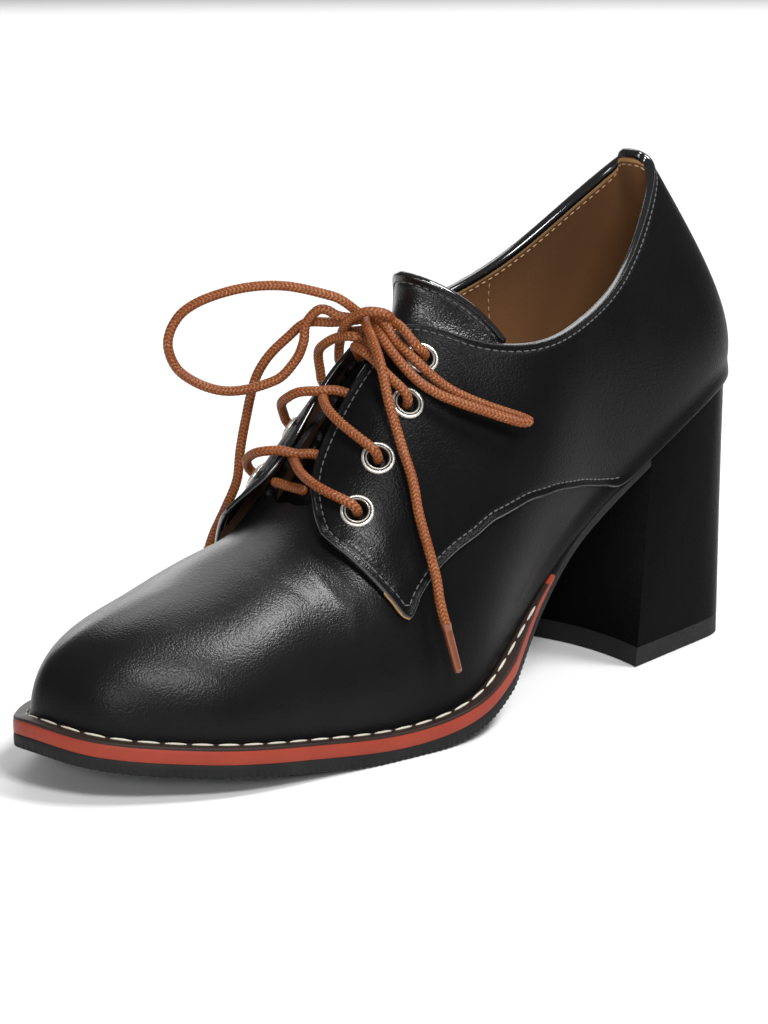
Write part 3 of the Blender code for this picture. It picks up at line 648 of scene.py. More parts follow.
@dataclass(frozen=True)
class LiningFinish(Finish):
    """Thin matt lining with a soft brushed face."""

    name: str
    colour: Colour
    shade: Colour
    roughness: float = 0.72
    relief: float = 0.00008
    sheen: float = 0.03
    shine: float = 0.2
    cloud_scale: float = 45.0
    speck_scale: float = 1800.0

    def dress(self, board: NodeBoard) -> None:
        """Wires clouds, specks and a fine relief into the shader.

        Args:
            board: The material's board.
        """
        cloud, speck = self.clouds(board)
        both = board.math("ADD", board.math("MULTIPLY", cloud, 0.6), board.math("MULTIPLY", speck, 0.4))
        board.surface({
            "Base Color": board.mix(board.span(both, 0.35, 0.65), self.shade, self.colour),
            "Roughness": board.span(speck, 0.3, 0.7, self.roughness - 0.06, self.roughness + 0.08),
            "Sheen Weight": self.sheen,
            "Specular IOR Level": self.shine,
        })
        self.bump(board, speck, self.relief)


@dataclass(frozen=True)
class RubberFinish(Finish):
    """Moulded rubber with fine specks."""

    name: str
    colour: Colour
    shade: Colour
    roughness: float = 0.6
    relief: float = 0.00005
    shine: float = 0.2
    cloud_scale: float = 90.0
    speck_scale: float = 1400.0

    def dress(self, board: NodeBoard) -> None:
        """Wires specks and a matt relief into the shader.

        Args:
            board: The material's board.
        """
        cloud, speck = self.clouds(board)
        board.surface({
            "Base Color": board.mix(board.span(cloud, 0.3, 0.7), self.shade, self.colour),
            "Roughness": board.span(speck, 0.3, 0.7, self.roughness - 0.08, self.roughness + 0.08),
            "Specular IOR Level": self.shine,
        })
        self.bump(board, speck, self.relief)


@dataclass(frozen=True)
class GlossFinish(Finish):
    """Glossy lacquered covering with a faint ripple."""

    name: str
    colour: Colour
    roughness: float = 0.2
    coat: float = 0.05
    shine: float = 0.16
    coat_roughness: float = 0.12
    ripple: float = 0.0002
    ripple_share: float = 0.35
    cloud_scale: float = 70.0
    speck_scale: float = 500.0

    def dress(self, board: NodeBoard) -> None:
        """Wires slow ripples and small marks into the shader.

        Args:
            board: The material's board.
        """
        cloud, speck = self.clouds(board)
        board.surface({
            "Base Color": (*self.colour, 1.0),
            "Roughness": board.span(speck, 0.35, 0.75, self.roughness - 0.03, self.roughness + 0.07),
            "Specular IOR Level": self.shine,
            "Coat Weight": self.coat,
            "Coat Roughness": self.coat_roughness,
        })
        self.bump(board, cloud, self.ripple, self.ripple_share)


@dataclass(frozen=True)
class MetalFinish(Finish):
    """Bright plated metal with fine scratches, with shade painted dark where its mark is high, in the
    grooves and the bore.
    """

    name: str
    colour: Colour
    # Colour of the painted shade in the grooves and the bore
    groove: Colour
    roughness: float = 0.22
    metal: float = 0.6
    relief: float = 0.00002
    cloud_scale: float = 400.0
    speck_scale: float = 2500.0

    def dress(self, board: NodeBoard) -> None:
        """Wires scratches into the metal shader.

        Args:
            board: The material's board.
        """
        cloud, speck = self.clouds(board)
        dull = tuple(0.8 * c for c in self.colour)
        colour = board.mix(board.span(cloud, 0.4, 0.7), self.colour, dull)
        # The mark paints shade into the grooves and the bore
        board.surface({
            "Base Color": board.mix(self.mark(board), colour, self.groove),
            "Roughness": board.span(speck, 0.3, 0.7, self.roughness - 0.05, self.roughness + 0.12),
            "Metallic": self.metal,
        })
        self.bump(board, speck, self.relief)


@dataclass(frozen=True)
class CordFinish(Finish):
    """Waxed braided cord with a soft shine, its own colour on the plaits and painted shade between them."""

    name: str
    colour: Colour
    # Colour of the painted shade between the plaits
    shade: Colour
    light: Colour
    fleck: Colour
    roughness: float = 0.5
    relief: float = 0.00006
    shine: float = 0.25
    cloud_scale: float = 160.0
    speck_scale: float = 2600.0

    def dress(self, board: NodeBoard) -> None:
        """Wires clouds, fibres and shade painted by plait height into the shader.

        Args:
            board: The material's board.
        """
        plait = self.mark(board)
        cloud, speck = self.clouds(board)
        body = board.mix(board.span(cloud, 0.35, 0.65), self.colour, self.light)
        # Low in the dips between the plaits, where shade is painted, with fibre specks mixed in
        crevice_shade_and_fibre = board.math("MULTIPLY", board.span(speck, 0.3, 0.7, 0.6), board.span(plait, 0.1, 0.75))
        fleck = board.math("MULTIPLY", board.span(speck, 0.55, 0.68, 0.0, 0.75), plait)
        board.surface({
            "Base Color": board.mix(fleck, board.mix(crevice_shade_and_fibre, self.shade, body), self.fleck),
            "Roughness": board.span(cloud, 0.3, 0.7, self.roughness - 0.1, self.roughness + 0.12),
            "Specular IOR Level": self.shine,
        })
        self.bump(board, speck, self.relief)


class Palette:
    """Finishes of the shoe's pieces."""

    leather = LeatherFinish("black_leather", (0.0038, 0.0038, 0.004), (0.0055, 0.0054, 0.0055))
    vamp = LeatherFinish("black_vamp_leather", (0.0042, 0.0042, 0.0044), (0.006, 0.0058, 0.006), 0.34, 0.29,
                         grain_depth=0.00006)
    lining = LiningFinish("tan_lining", (0.15, 0.067, 0.025), (0.127, 0.055, 0.02))
    raw_edge = LiningFinish("pale_raw_edge", (0.42, 0.24, 0.1), (0.33, 0.18, 0.07))
    welt = RubberFinish("dark_welt", (0.028, 0.016, 0.012), (0.016, 0.01, 0.008), 0.5)
    red = RubberFinish("brick_red_layer", (0.275, 0.04, 0.0215), (0.23, 0.032, 0.017), 0.5, 0.00003)
    rubber = RubberFinish("black_rubber", (0.011, 0.011, 0.0115), (0.007, 0.007, 0.0075), 0.66)
    heel = GlossFinish("glossy_heel", (0.0018, 0.0018, 0.0019), 0.26, 0.0, 0.012)
    # Plated colour, and the painted shade of its grooves and bore
    metal = MetalFinish("plated_eyelet", (0.74, 0.7, 0.63), (0.02, 0.019, 0.018))
    # Cord colour, painted shade between the plaits, lighter clouds and pale flecks
    cord = CordFinish("waxed_cord", (0.275, 0.073, 0.016), (0.105, 0.023, 0.005), (0.355, 0.121, 0.036),
                      (0.58, 0.32, 0.16))
    aglet = GlossFinish("clear_tip", (0.16, 0.042, 0.015), 0.2, 0.5, 0.5)
    # Black thread coloured light grey as painted sheen, so its stitches show as pale dashes
    black_thread = LiningFinish("black_thread", (0.11, 0.11, 0.11), (0.06, 0.06, 0.06), 0.5)
    pale_thread = LiningFinish("pale_thread", (0.62, 0.58, 0.5), (0.4, 0.37, 0.31), 0.7)
    tan_thread = LiningFinish("tan_thread", (0.5, 0.33, 0.2), (0.36, 0.22, 0.12), 0.6)


def placed(name: str, bm: bmesh.types.BMesh) -> Piece:
    """Puts a bmesh into the scene and frees it.

    Args:
        name: Name of the object and of its mesh.
        bm: The bmesh.

    Returns:
        The new object.
    """
    mesh = bpy.data.meshes.new(name)
    bm.to_mesh(mesh)
    bm.free()
    obj = bpy.data.objects.new(name, mesh)
    bpy.context.scene.collection.objects.link(obj)
    return obj


class Draft:
    """Points, faces and finishes of a piece while it is put together."""

    def __init__(self) -> None:
        """Starts with nothing."""
        self.points: list[Array] = []
        self.marks: list[Array] = []
        self.faces: list[Array] = []
        self.slots: list[Array] = []
        self.count = 0

    def add(self, points: Array, mark: Array | float = 0.0) -> Array:
        """Adds points.

        Args:
            points: Places as fwd, out, z, in any grid.
            mark: Value from 0 to 1 kept with each point, such as its closeness to an edge.

        Returns:
            Point numbers in the same grid.
        """
        p = np.asarray(points, float)
        shape = p.shape[:-1]
        size = int(np.prod(shape))
        self.points.append(p.reshape(-1, 3))
        self.marks.append(np.broadcast_to(np.asarray(mark, float), shape).reshape(-1))
        index = np.arange(self.count, self.count + size).reshape(shape)
        self.count += size
        return index

    def skin(self, grid: Array, flip: bool = False, slot: Array | int = 0) -> None:
        """Faces between neighbouring points of a grid.

        Args:
            grid: Point numbers in rows.
            flip: Turns the faces over.
            slot: Finish number of all faces, or of each.
        """
        quads = np.stack([grid[:-1, :-1], grid[:-1, 1:], grid[1:, 1:], grid[1:, :-1]], -1)
        if flip:
            quads = quads[..., ::-1]
        self.slots.append(np.broadcast_to(np.asarray(slot, int), quads.shape[:2]).reshape(-1))
        self.faces.append(quads.reshape(-1, 4))

    def rim(self, top: Array, under: Array) -> None:
        """Faces round the edge between two grids of one size.

        Args:
            top: Point numbers of the upper grid.
            under: Point numbers of the lower grid.
        """
        edges = ((top[0], under[0]), (under[-1], top[-1]), (under[:, 0], top[:, 0]),
                 (top[:, -1], under[:, -1]))
        for pair in edges:
            self.skin(np.stack(pair))

    def caps(self, grid: Array, line: Array, mark: float = 0.0) -> None:
        """Closes both ends of a tube.

        Args:
            grid: Point numbers of its rings, the first column again at the end.
            line: Centres of its rings.
            mark: Mark of the points added in the middle of each end.
        """
        for k in (0, -1):
            middle = self.add(line[k][None], mark)
            self.skin(np.stack([grid[k], np.full(grid.shape[1], middle[0])]), flip=k == 0)

    def piece(self, name: str, finishes: Sequence[Finish], sharp: float = 1.0) -> Piece:
        """Makes the mesh object: doubled points joined, faces outward, smooth between sharp edges.

        Args:
            name: The piece's name.
            finishes: Finishes by number.
            sharp: Angle past which an edge stays sharp, in radians.

        Returns:
            The new object.
        """
        bm = bmesh.new()
        mark = bm.verts.layers.float.new("edge")
        verts = []
        for p, m in zip(to_frame(np.concatenate(self.points)), np.concatenate(self.marks)):
            vert = bm.verts.new(p)
            vert[mark] = m
            verts.append(vert)
        for quad, slot in zip(np.concatenate(self.faces).tolist(), np.concatenate(self.slots).tolist()):
            corners = list(dict.fromkeys(quad))
            if len(corners) > 2:
                bm.faces.new([verts[i] for i in corners]).material_index = slot
        bmesh.ops.remove_doubles(bm, verts=bm.verts, dist=2e-6)
        bmesh.ops.dissolve_degenerate(bm, edges=bm.edges, dist=1e-7)
        bmesh.ops.recalc_face_normals(bm, faces=bm.faces)
        if bm.calc_volume(signed=True) < 0:
            bmesh.ops.reverse_faces(bm, faces=bm.faces)
        obj = placed(name, bm)
        obj.data.shade_smooth()
        obj.data.set_sharp_from_angle(angle=sharp)
        for finish in finishes:
            obj.data.materials.append(finish.material())
        return obj


def plain_mesh(obj: Piece) -> Piece:
    """Turns an object's evaluated shape into its own plain mesh and drops its modifiers."""
    bpy.context.view_layer.update()
    graph = bpy.context.evaluated_depsgraph_get()
    mesh = bpy.data.meshes.new_from_object(obj.evaluated_get(graph), depsgraph=graph)
    obj.modifiers.clear()
    obj.data = mesh
    mesh.name = obj.name
    return obj


def settle(obj: Piece, nodes: Sequence[str] = ()) -> Piece:
    """Ties a finished piece to the frame.

    Args:
        obj: The piece.
        nodes: CAD nodes that it stands for.

    Returns:
        The piece.
    """
    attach(obj, BODY)
    if nodes:
        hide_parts(*nodes)
    LOG.info("%s: %d faces", obj.name, len(obj.data.polygons))
    return obj


class SetOut:
    """Sets copies of one small shape at places by Geometry Nodes, each turned to two directions."""

    tree: NodeTree | None = None

    @classmethod
    def nodes(cls) -> NodeTree:
        """The node tree, built once."""
        if cls.tree:
            return cls.tree
        tree = bpy.data.node_groups.new("Set out copies", "GeometryNodeTree")
        tree.is_modifier = True
        sockets = {"Places": "Geometry", "Shape": "Object", "Size": "Vector", "Finish": "Material"}
        for label, kind in sockets.items():
            tree.interface.new_socket(name=label, in_out="INPUT", socket_type="NodeSocket" + kind)
        tree.interface.new_socket(name="Copies", in_out="OUTPUT", socket_type="NodeSocketGeometry")
        board = NodeBoard(tree)
        given = board.add("NodeGroupInput").outputs
        shape = board.add("GeometryNodeObjectInfo", {"Object": given["Shape"]}).outputs["Geometry"]
        axes = []
        for label in ("along", "up"):
            node = board.add("GeometryNodeInputNamedAttribute", {"Name": label}, data_type="FLOAT_VECTOR")
            axes.append(node.outputs["Attribute"])
        turn = board.add("FunctionNodeAxesToRotation", {0: axes[0], 1: axes[1]}, primary_axis="X",
                         secondary_axis="Z").outputs[0]
        spread = {"Points": given["Places"], "Instance": shape, "Rotation": turn, "Scale": given["Size"]}
        copies = board.add("GeometryNodeInstanceOnPoints", spread).outputs[0]
        real = board.add("GeometryNodeRealizeInstances", {"Geometry": copies}).outputs[0]
        dressed = board.add("GeometryNodeSetMaterial", {"Geometry": real, "Material": given["Finish"]})
        board.add("NodeGroupOutput", {0: dressed.outputs[0]})
        cls.tree = tree
        return tree

    @classmethod
    def make(cls, name: str, shape: Piece, places: Array, along: Array, up: Array, size: Array,
             finish: Finish) -> Piece:
        """Sets out the copies and returns them as one plain mesh.

        Args:
            name: Name of the new piece.
            shape: Template; it is removed once the copies are made.
            places: Places in the frame, in metres.
            along: Direction of each copy's X axis.
            up: Direction of each copy's Z axis.
            size: Scale of the template along its axes.
            finish: Finish of the copies.

        Returns:
            The new piece.
        """
        mesh = bpy.data.meshes.new(name)
        mesh.from_pydata([tuple(p) for p in places], [], [])
        for label, values in (("along", along), ("up", up)):
            data = mesh.attributes.new(label, "FLOAT_VECTOR", "POINT").data
            data.foreach_set("vector", np.ascontiguousarray(values, np.float32).ravel())
        obj = bpy.data.objects.new(name, mesh)
        bpy.context.scene.collection.objects.link(obj)
        mod = obj.modifiers.new("set out", "NODES")
        mod.node_group = cls.nodes()
        values = {"Shape": shape, "Size": tuple(size), "Finish": finish.material()}
        for item in cls.nodes().interface.items_tree:
            if item.in_out == "INPUT" and item.name in values:
                mod[item.identifier] = values[item.name]
        plain_mesh(obj)
        bpy.data.objects.remove(shape, do_unlink=True)
        return obj


@dataclass(frozen=True)
class Thread:
    """A row of stitches: sizes in millimetres."""

    finish: Finish
    pitch: float = 2.1
    length: float = 1.75
    width: float = 0.42
    sink: float = 0.05

    def template(self) -> Piece:
        """One stitch: a short rounded strand one unit long that dips at both ends."""
        bm = bmesh.new()
        bmesh.ops.create_uvsphere(bm, u_segments=8, v_segments=7, radius=0.5,
                                  matrix=Matrix.Rotation(math.pi / 2, 4, "Y"))
        for v in bm.verts:
            v.co.y *= 0.55 + 0.45 * min(1.0, 4.0 * (0.25 - v.co.x ** 2) * 1.6)
        obj = placed("stitch_template", bm)
        obj.data.shade_smooth()
        return obj

    def sew(self, name: str, runs: Sequence[Pair]) -> Piece:
        """Sews rows of stitches.

        Args:
            name: Name of the piece.
            runs: For each row its path and the surface normals along it, as fwd, out, z.

        Returns:
            The finished piece.
        """
        places, along, up = [], [], []
        for path, normals in runs:
            both = even(np.column_stack([path, normals]), self.pitch)
            p, n = both[:, :3], unit(both[:, 3:])
            mid = 0.5 * (p[1:] + p[:-1])
            places.append(mid + 0.5 * (n[1:] + n[:-1]) * (0.25 * self.width - self.sink))
            along.append(p[1:] - p[:-1])
            up.append(0.5 * (n[1:] + n[:-1]))
        along, up = (direction(np.concatenate(d)) for d in (along, up))
        size = np.array([self.length, self.width, self.width]) * MM
        spots = to_frame(np.concatenate(places))
        return settle(SetOut.make(name, self.template(), spots, along, up, size, self.finish))


class Surface:
    """Nearest places on a finished piece, in millimetres of fwd, out, z."""

    def __init__(self, obj: Piece) -> None:
        """Reads the piece's mesh."""
        corners = [v.co for v in obj.data.vertices]
        self.tree = BVHTree.FromPolygons(corners, [tuple(p.vertices) for p in obj.data.polygons])

    def nearest(self, points: Array) -> Pair:
        """Nearest places and face normals.

        Args:
            points: Places as fwd, out, z.

        Returns:
            The places on the piece and its normals there, as fwd, out, z.
        """
        places, normals = [], []
        for p in to_frame(points):
            spot, n, _, _ = self.tree.find_nearest(Vector(p))
            places.append((CENTRE_FWD - spot.y / MM, spot.x / MM + CENTRE_OUT, spot.z / MM))
            normals.append((-n.y, n.x, n.z))
        return np.array(places), np.array(normals)


@dataclass(frozen=True)
class FoldedEdge:
    """How a leather panel is shaped near its folded edge, in millimetres."""

    thickness: float = 1.25
    bead: float = 0.38
    bead_at: float = 0.85
    bead_width: float = 0.55
    groove: float = 0.22
    stitch_in: float = 2.4
    groove_width: float = 0.42

    def rounding(self, distance: Array, radius: float) -> Array:
        """Share of the thickness reached at a distance from the edge."""
        t = np.clip(distance / radius, 0.0, 1.0)
        return np.sqrt(np.maximum(1.0 - (1.0 - t) ** 2, 0.0))

    def relief(self, distance: Array) -> Array:
        """Bead along the fold and groove under the stitches."""
        return (self.bead * hump(distance, self.bead_at, self.bead_width)
                - self.groove * hump(distance, self.stitch_in, self.groove_width))

    def gloss(self, distance: Array) -> Array:
        """Closeness to the fold, 1 at the edge."""
        return 1.0 - ease(distance, 0.5, 1.3)


def edge_distance(points: Array, edge: Array) -> Array:
    """Distance from each point of a grid to the nearest piece of an edge line.

    Args:
        points: The grid, as fwd, out, z.
        edge: Points along the line.

    Returns:
        The distances, in the same grid.
    """
    batch = 64
    flat = points.reshape(-1, 3)
    best = np.full(len(flat), np.inf)
    step = np.diff(edge, axis=0)
    square = np.maximum((step * step).sum(1), 1e-12)
    for start in range(0, len(step), batch):
        part = slice(start, min(start + batch, len(step)))
        way = flat[:, None] - edge[part]
        share = np.clip((way * step[part]).sum(2) / square[part], 0.0, 1.0)
        best = np.minimum(best, np.linalg.norm(way - share[..., None] * step[part], axis=2).min(1))
    return best.reshape(points.shape[:-1])


def edge_rows(lengths: Array, reach: float = 4.0, inner: int = 26) -> Array:
    """Shares of rows across a panel, close together near both of its edges.

    Args:
        lengths: Length of each column in millimetres.
        reach: Width of the close rows.
        inner: Rows between them.

    Returns:
        Shares from 0 to 1, a row for each and a column for each length.
    """
    near = np.array([0.0, 0.12, 0.3, 0.5, 0.75, 1.0, 1.3, 1.6, 1.9, 2.15, 2.4, 2.65, 2.95, 3.4, 4.0]) / 4.0
    e = np.minimum(reach, 0.4 * lengths) / lengths
    middle = np.linspace(0.0, 1.0, inner + 2)[1:-1, None]
    low = near[:, None] * e
    return np.concatenate([low, e + (1.0 - 2.0 * e) * middle, 1.0 - low[::-1]])


@dataclass(frozen=True)
class Crease:
    """A soft ridge or trough of the leather between two places of section number and height share."""

    u: float
    v: float
    end_u: float
    end_v: float
    width: float
    height: float

    def relief(self, form: Array) -> Array:
        """Rise of the leather at places on the form, fading towards both ends."""
        a, b = LAST.point(np.array([self.u, self.end_u]), np.array([self.v, self.end_v]))
        run = b - a
        share = np.clip(((form - a) @ run) / (run @ run), 0.0, 1.0)
        away = np.linalg.norm(form - a - share[..., None] * run, axis=-1)
        return self.height * np.exp(-((away / self.width) ** 2)) * (4.0 * share * (1.0 - share)) ** 0.5


# Puckers of the outer facing's front corner and round its lowest eyelet
FLAP_CREASES = tuple(Crease(*row) for row in (
    (8.44, 0.405, 7.82, 0.41, 2.1, 0.5),
    (8.88, 0.67, 8.5, 0.5, 2.0, 0.36),
    (8.3, 0.48, 7.9, 0.5, 2.6, -0.3),
))
# Fine flex lines of the vamp in front of the facings
VAMP_CREASES = tuple(Crease(*row) for row in (
    (9.35, 0.62, 9.75, 0.82, 1.5, -0.16),
    (9.6, 0.56, 10.05, 0.74, 1.3, -0.12),
    (9.2, 0.5, 9.45, 0.66, 1.8, -0.2),
    (10.0, 0.66, 10.3, 0.9, 1.4, -0.1),
    (9.1, 0.34, 9.0, 0.52, 2.2, 0.22),
    (8.55, 0.2, 8.8, 0.36, 2.4, -0.18),
))


@dataclass
class UpperForm:
    """Offsets that the upper's layers share."""

    gap: float = 0.06
    sunk: float = 1.7
    flap_rise: float = 2.4
    flap_gap: float = 0.45
    inner_stand: float = 1.5

    def sink(self, u: Array, v: Array) -> Array:
        """How far the vamp layer lies inside the form, so that the quarters end flush with it."""
        return self.sunk * (1.0 - ease(LAST.folded(u), 3.5, 8.5)) * ease(v, 0.0, 0.12)

    def flap(self, u: Array, v: Array) -> Array:
        """How far the facings' loose fronts stand off the vamp, the inner one more."""
        k = LAST.folded(u)
        stand = self.inner_stand * ease(k, 6.9, 8.0) * ease(v, 0.5, 0.85) * (np.asarray(u) > LAST.toe)
        rise = self.flap_rise * ease(k, 7.3, 9.1) * ease(v, 0.3, 0.8)
        return rise + stand + self.flap_gap * ease(k, 7.4, 8.4)


@dataclass
class Vamp:
    """Vamp, counter and lining: the hollow wall of the upper, open at collar, throat and below."""

    form: UpperForm
    wall: float = 1.4
    collar_in: float = 2.2
    throat_half: float = 13.0
    throat_square: float = 8.0
    throat_end: float = 9.15
    seam_at: float = 3.27
    seam_depth: float = 0.2
    seam_width: float = 0.05
    seam_stitch: float = 0.13
    collar_stitch: float = 1.8
    collar_end: float = 6.6
    # Section as far as which the cut edge of the lining shows
    cut_end: float = 6.4
    # Stays below the mark from which leather counts as folded
    polish_most: float = 0.76
    obj: Piece | None = field(default=None, init=False)

    def throat(self, u: Array) -> Array:
        """Half width of the wall's own opening under the facings."""
        u = LAST.folded(u)
        run = np.clip((u - self.throat_square) / (self.throat_end - self.throat_square), 0.0, 1.0)
        half = self.throat_half * np.sqrt(np.maximum(1.0 - run ** 2, 0.0))
        return np.where(u < self.throat_end, half, 0.0)

    def top(self, u: Array) -> Array:
        """Height share of the wall's upper edge."""
        top = LAST.share_at(u, self.throat(u))
        length = LAST.height(u, np.zeros(len(u)), np.ones(len(u)))
        collar = 1.0 - self.collar_in / length
        k = LAST.folded(u)
        top = np.where(k < self.collar_end, np.minimum(top, collar), top)
        return np.where(k >= self.throat_end - 1e-9, 1.0, top)

    def polish(self, u: Array, v: Array) -> Array:
        """How well the leather is polished: most on toe and instep, least on the sides and the back."""
        return self.polish_most * ease(LAST.folded(u), 7.5, 9.2) * (0.25 + 0.75 * ease(v, 0.15, 0.5))

    def on_lining(self, u: Array, v: Array) -> Pair:
        """Places on the lining at ring numbers and height shares, and the normals there."""
        inside = -self.form.sink(u, v) - self.wall - 0.4
        return Surface(self.obj).nearest(LAST.shell(u, v, inside))

    def collar_row(self) -> Pair:
        """Path of the lining's stitches below the collar and the normals along it."""
        half = np.linspace(0.15, 6.3, 260)
        u = np.concatenate([LAST.ring - half[::-1], half])
        v = self.top(u) - self.collar_stitch / LAST.height(u, np.zeros(len(u)), np.ones(len(u)))
        return self.on_lining(u, v)

    def seam_row(self) -> Pair:
        """Path of the stitches beside the lining's seam and the normals along it."""
        v = np.linspace(0.9, 0.3, 80)
        u = np.full(len(v), LAST.ring - self.seam_at + self.seam_stitch)
        return self.on_lining(u, v)

    def build(self) -> Piece:
        """Makes the wall with leather outside and lining inside."""
        half = np.concatenate([np.linspace(0.0, 7.9, 130), np.linspace(7.95, 8.9, 40),
                               np.linspace(8.92, 9.15, 12), np.linspace(9.2, 13.95, 88)])
        u = np.concatenate([half, [LAST.toe], LAST.ring - half[:0:-1]])
        top = self.top(u)
        closed = LAST.folded(u) >= self.throat_end - 1e-9
        shares = np.concatenate([np.linspace(0.0, 0.08, 6), np.linspace(0.08, 0.985, 58)[1:], [1.0]])
        uu = np.broadcast_to(u, (len(shares), len(u)))
        v = shares[:, None] * top
        draft = Draft()
        skins = []
        for depth in (0.0, self.wall):
            flex = sum(c.relief(LAST.point(uu, v)) for c in VAMP_CREASES)
            seam = self.seam_depth * hump(uu, LAST.ring - self.seam_at, self.seam_width) * (depth > 0)
            p = LAST.shell(uu, v, -self.form.sink(uu, v) - depth + flex + seam)
            ridge = 0.5 * (p[-1] + p[-1, -np.arange(len(u)) % len(u)])
            ridge[:, 1] = np.where(LAST.folded(u) < LAST.toe, 0.0, p[-1, :, 1])
            p[-1] = np.where(closed[:, None], ridge, p[-1])
            grid = looped(draft.add(p, self.polish(uu, v)))
            skins.append(grid)
            slot = np.full((len(shares) - 1, len(u)), int(depth > 0))
            slot[-1] = np.where((depth > 0) & (LAST.folded(u) < self.cut_end), 2, slot[-1])
            draft.skin(grid, flip=depth > 0, slot=slot)
        draft.skin(np.stack([skins[0][0], skins[1][0]]), flip=True, slot=1)
        rim = np.stack([skins[0][-1], skins[1][-1]])
        is_open = ~(closed & np.roll(closed, -1))
        for i in np.nonzero(is_open)[0]:
            draft.skin(rim[:, i:i + 2], slot=2 if LAST.folded(u[i]) < self.cut_end else 0)
        self.obj = draft.piece("vamp_and_lining", (Palette.vamp, Palette.lining, Palette.raw_edge), 0.9)
        return settle(self.obj, ("upper",))


@dataclass(frozen=True)
class EdgeRow:
    """A place on a quarter's lower edge: section number and height share."""

    u: float
    v: float


@dataclass(frozen=True)
class FacingRow:
    """A place on the facing edges: section number, distances from the middle."""

    u: float
    outer: float
    inner: float


QUARTER_LOW = tuple(EdgeRow(*row) for row in (
    (0.0, 0.012), (3.3, 0.012), (3.5, 0.03), (3.75, 0.11), (4.25, 0.27), (4.95, 0.405), (5.6, 0.45),
    (6.3, 0.435), (6.85, 0.405), (7.3, 0.39), (7.65, 0.375), (7.95, 0.352), (8.2, 0.318), (8.32, 0.335),
    (8.48, 0.395), (8.62, 0.455), (8.8, 0.54), (8.96, 0.625), (9.08, 0.695), (9.13, 0.745),
))
FACING = tuple(FacingRow(*row) for row in (
    (6.9, 4.2, 4.2), (7.8, 3.4, 3.4), (8.45, 3.6, 3.6), (8.72, 4.6, 4.8), (8.88, 6.6, 6.8),
    (8.98, 9.0, 9.2), (9.08, 12.4, 12.6), (9.13, 15.4, 15.6),
))


@dataclass(frozen=True)
class EyeletPlace:
    """An eyelet's place on either side: section number and height share."""

    outer_u: float
    outer_v: float
    inner_u: float
    inner_v: float

    def on(self, side: Side) -> tuple[float, float]:
        """Section number and height share on one side."""
        if side is Side.OUTER:
            return self.outer_u, self.outer_v
        return self.inner_u, self.inner_v


EYELETS = tuple(EyeletPlace(*row) for row in (
    (8.58, 0.670, 8.45, 0.675),
    (8.14, 0.705, 7.94, 0.700),
    (7.56, 0.745, 7.48, 0.750),
    (7.11, 0.838, 7.15, 0.790),
))


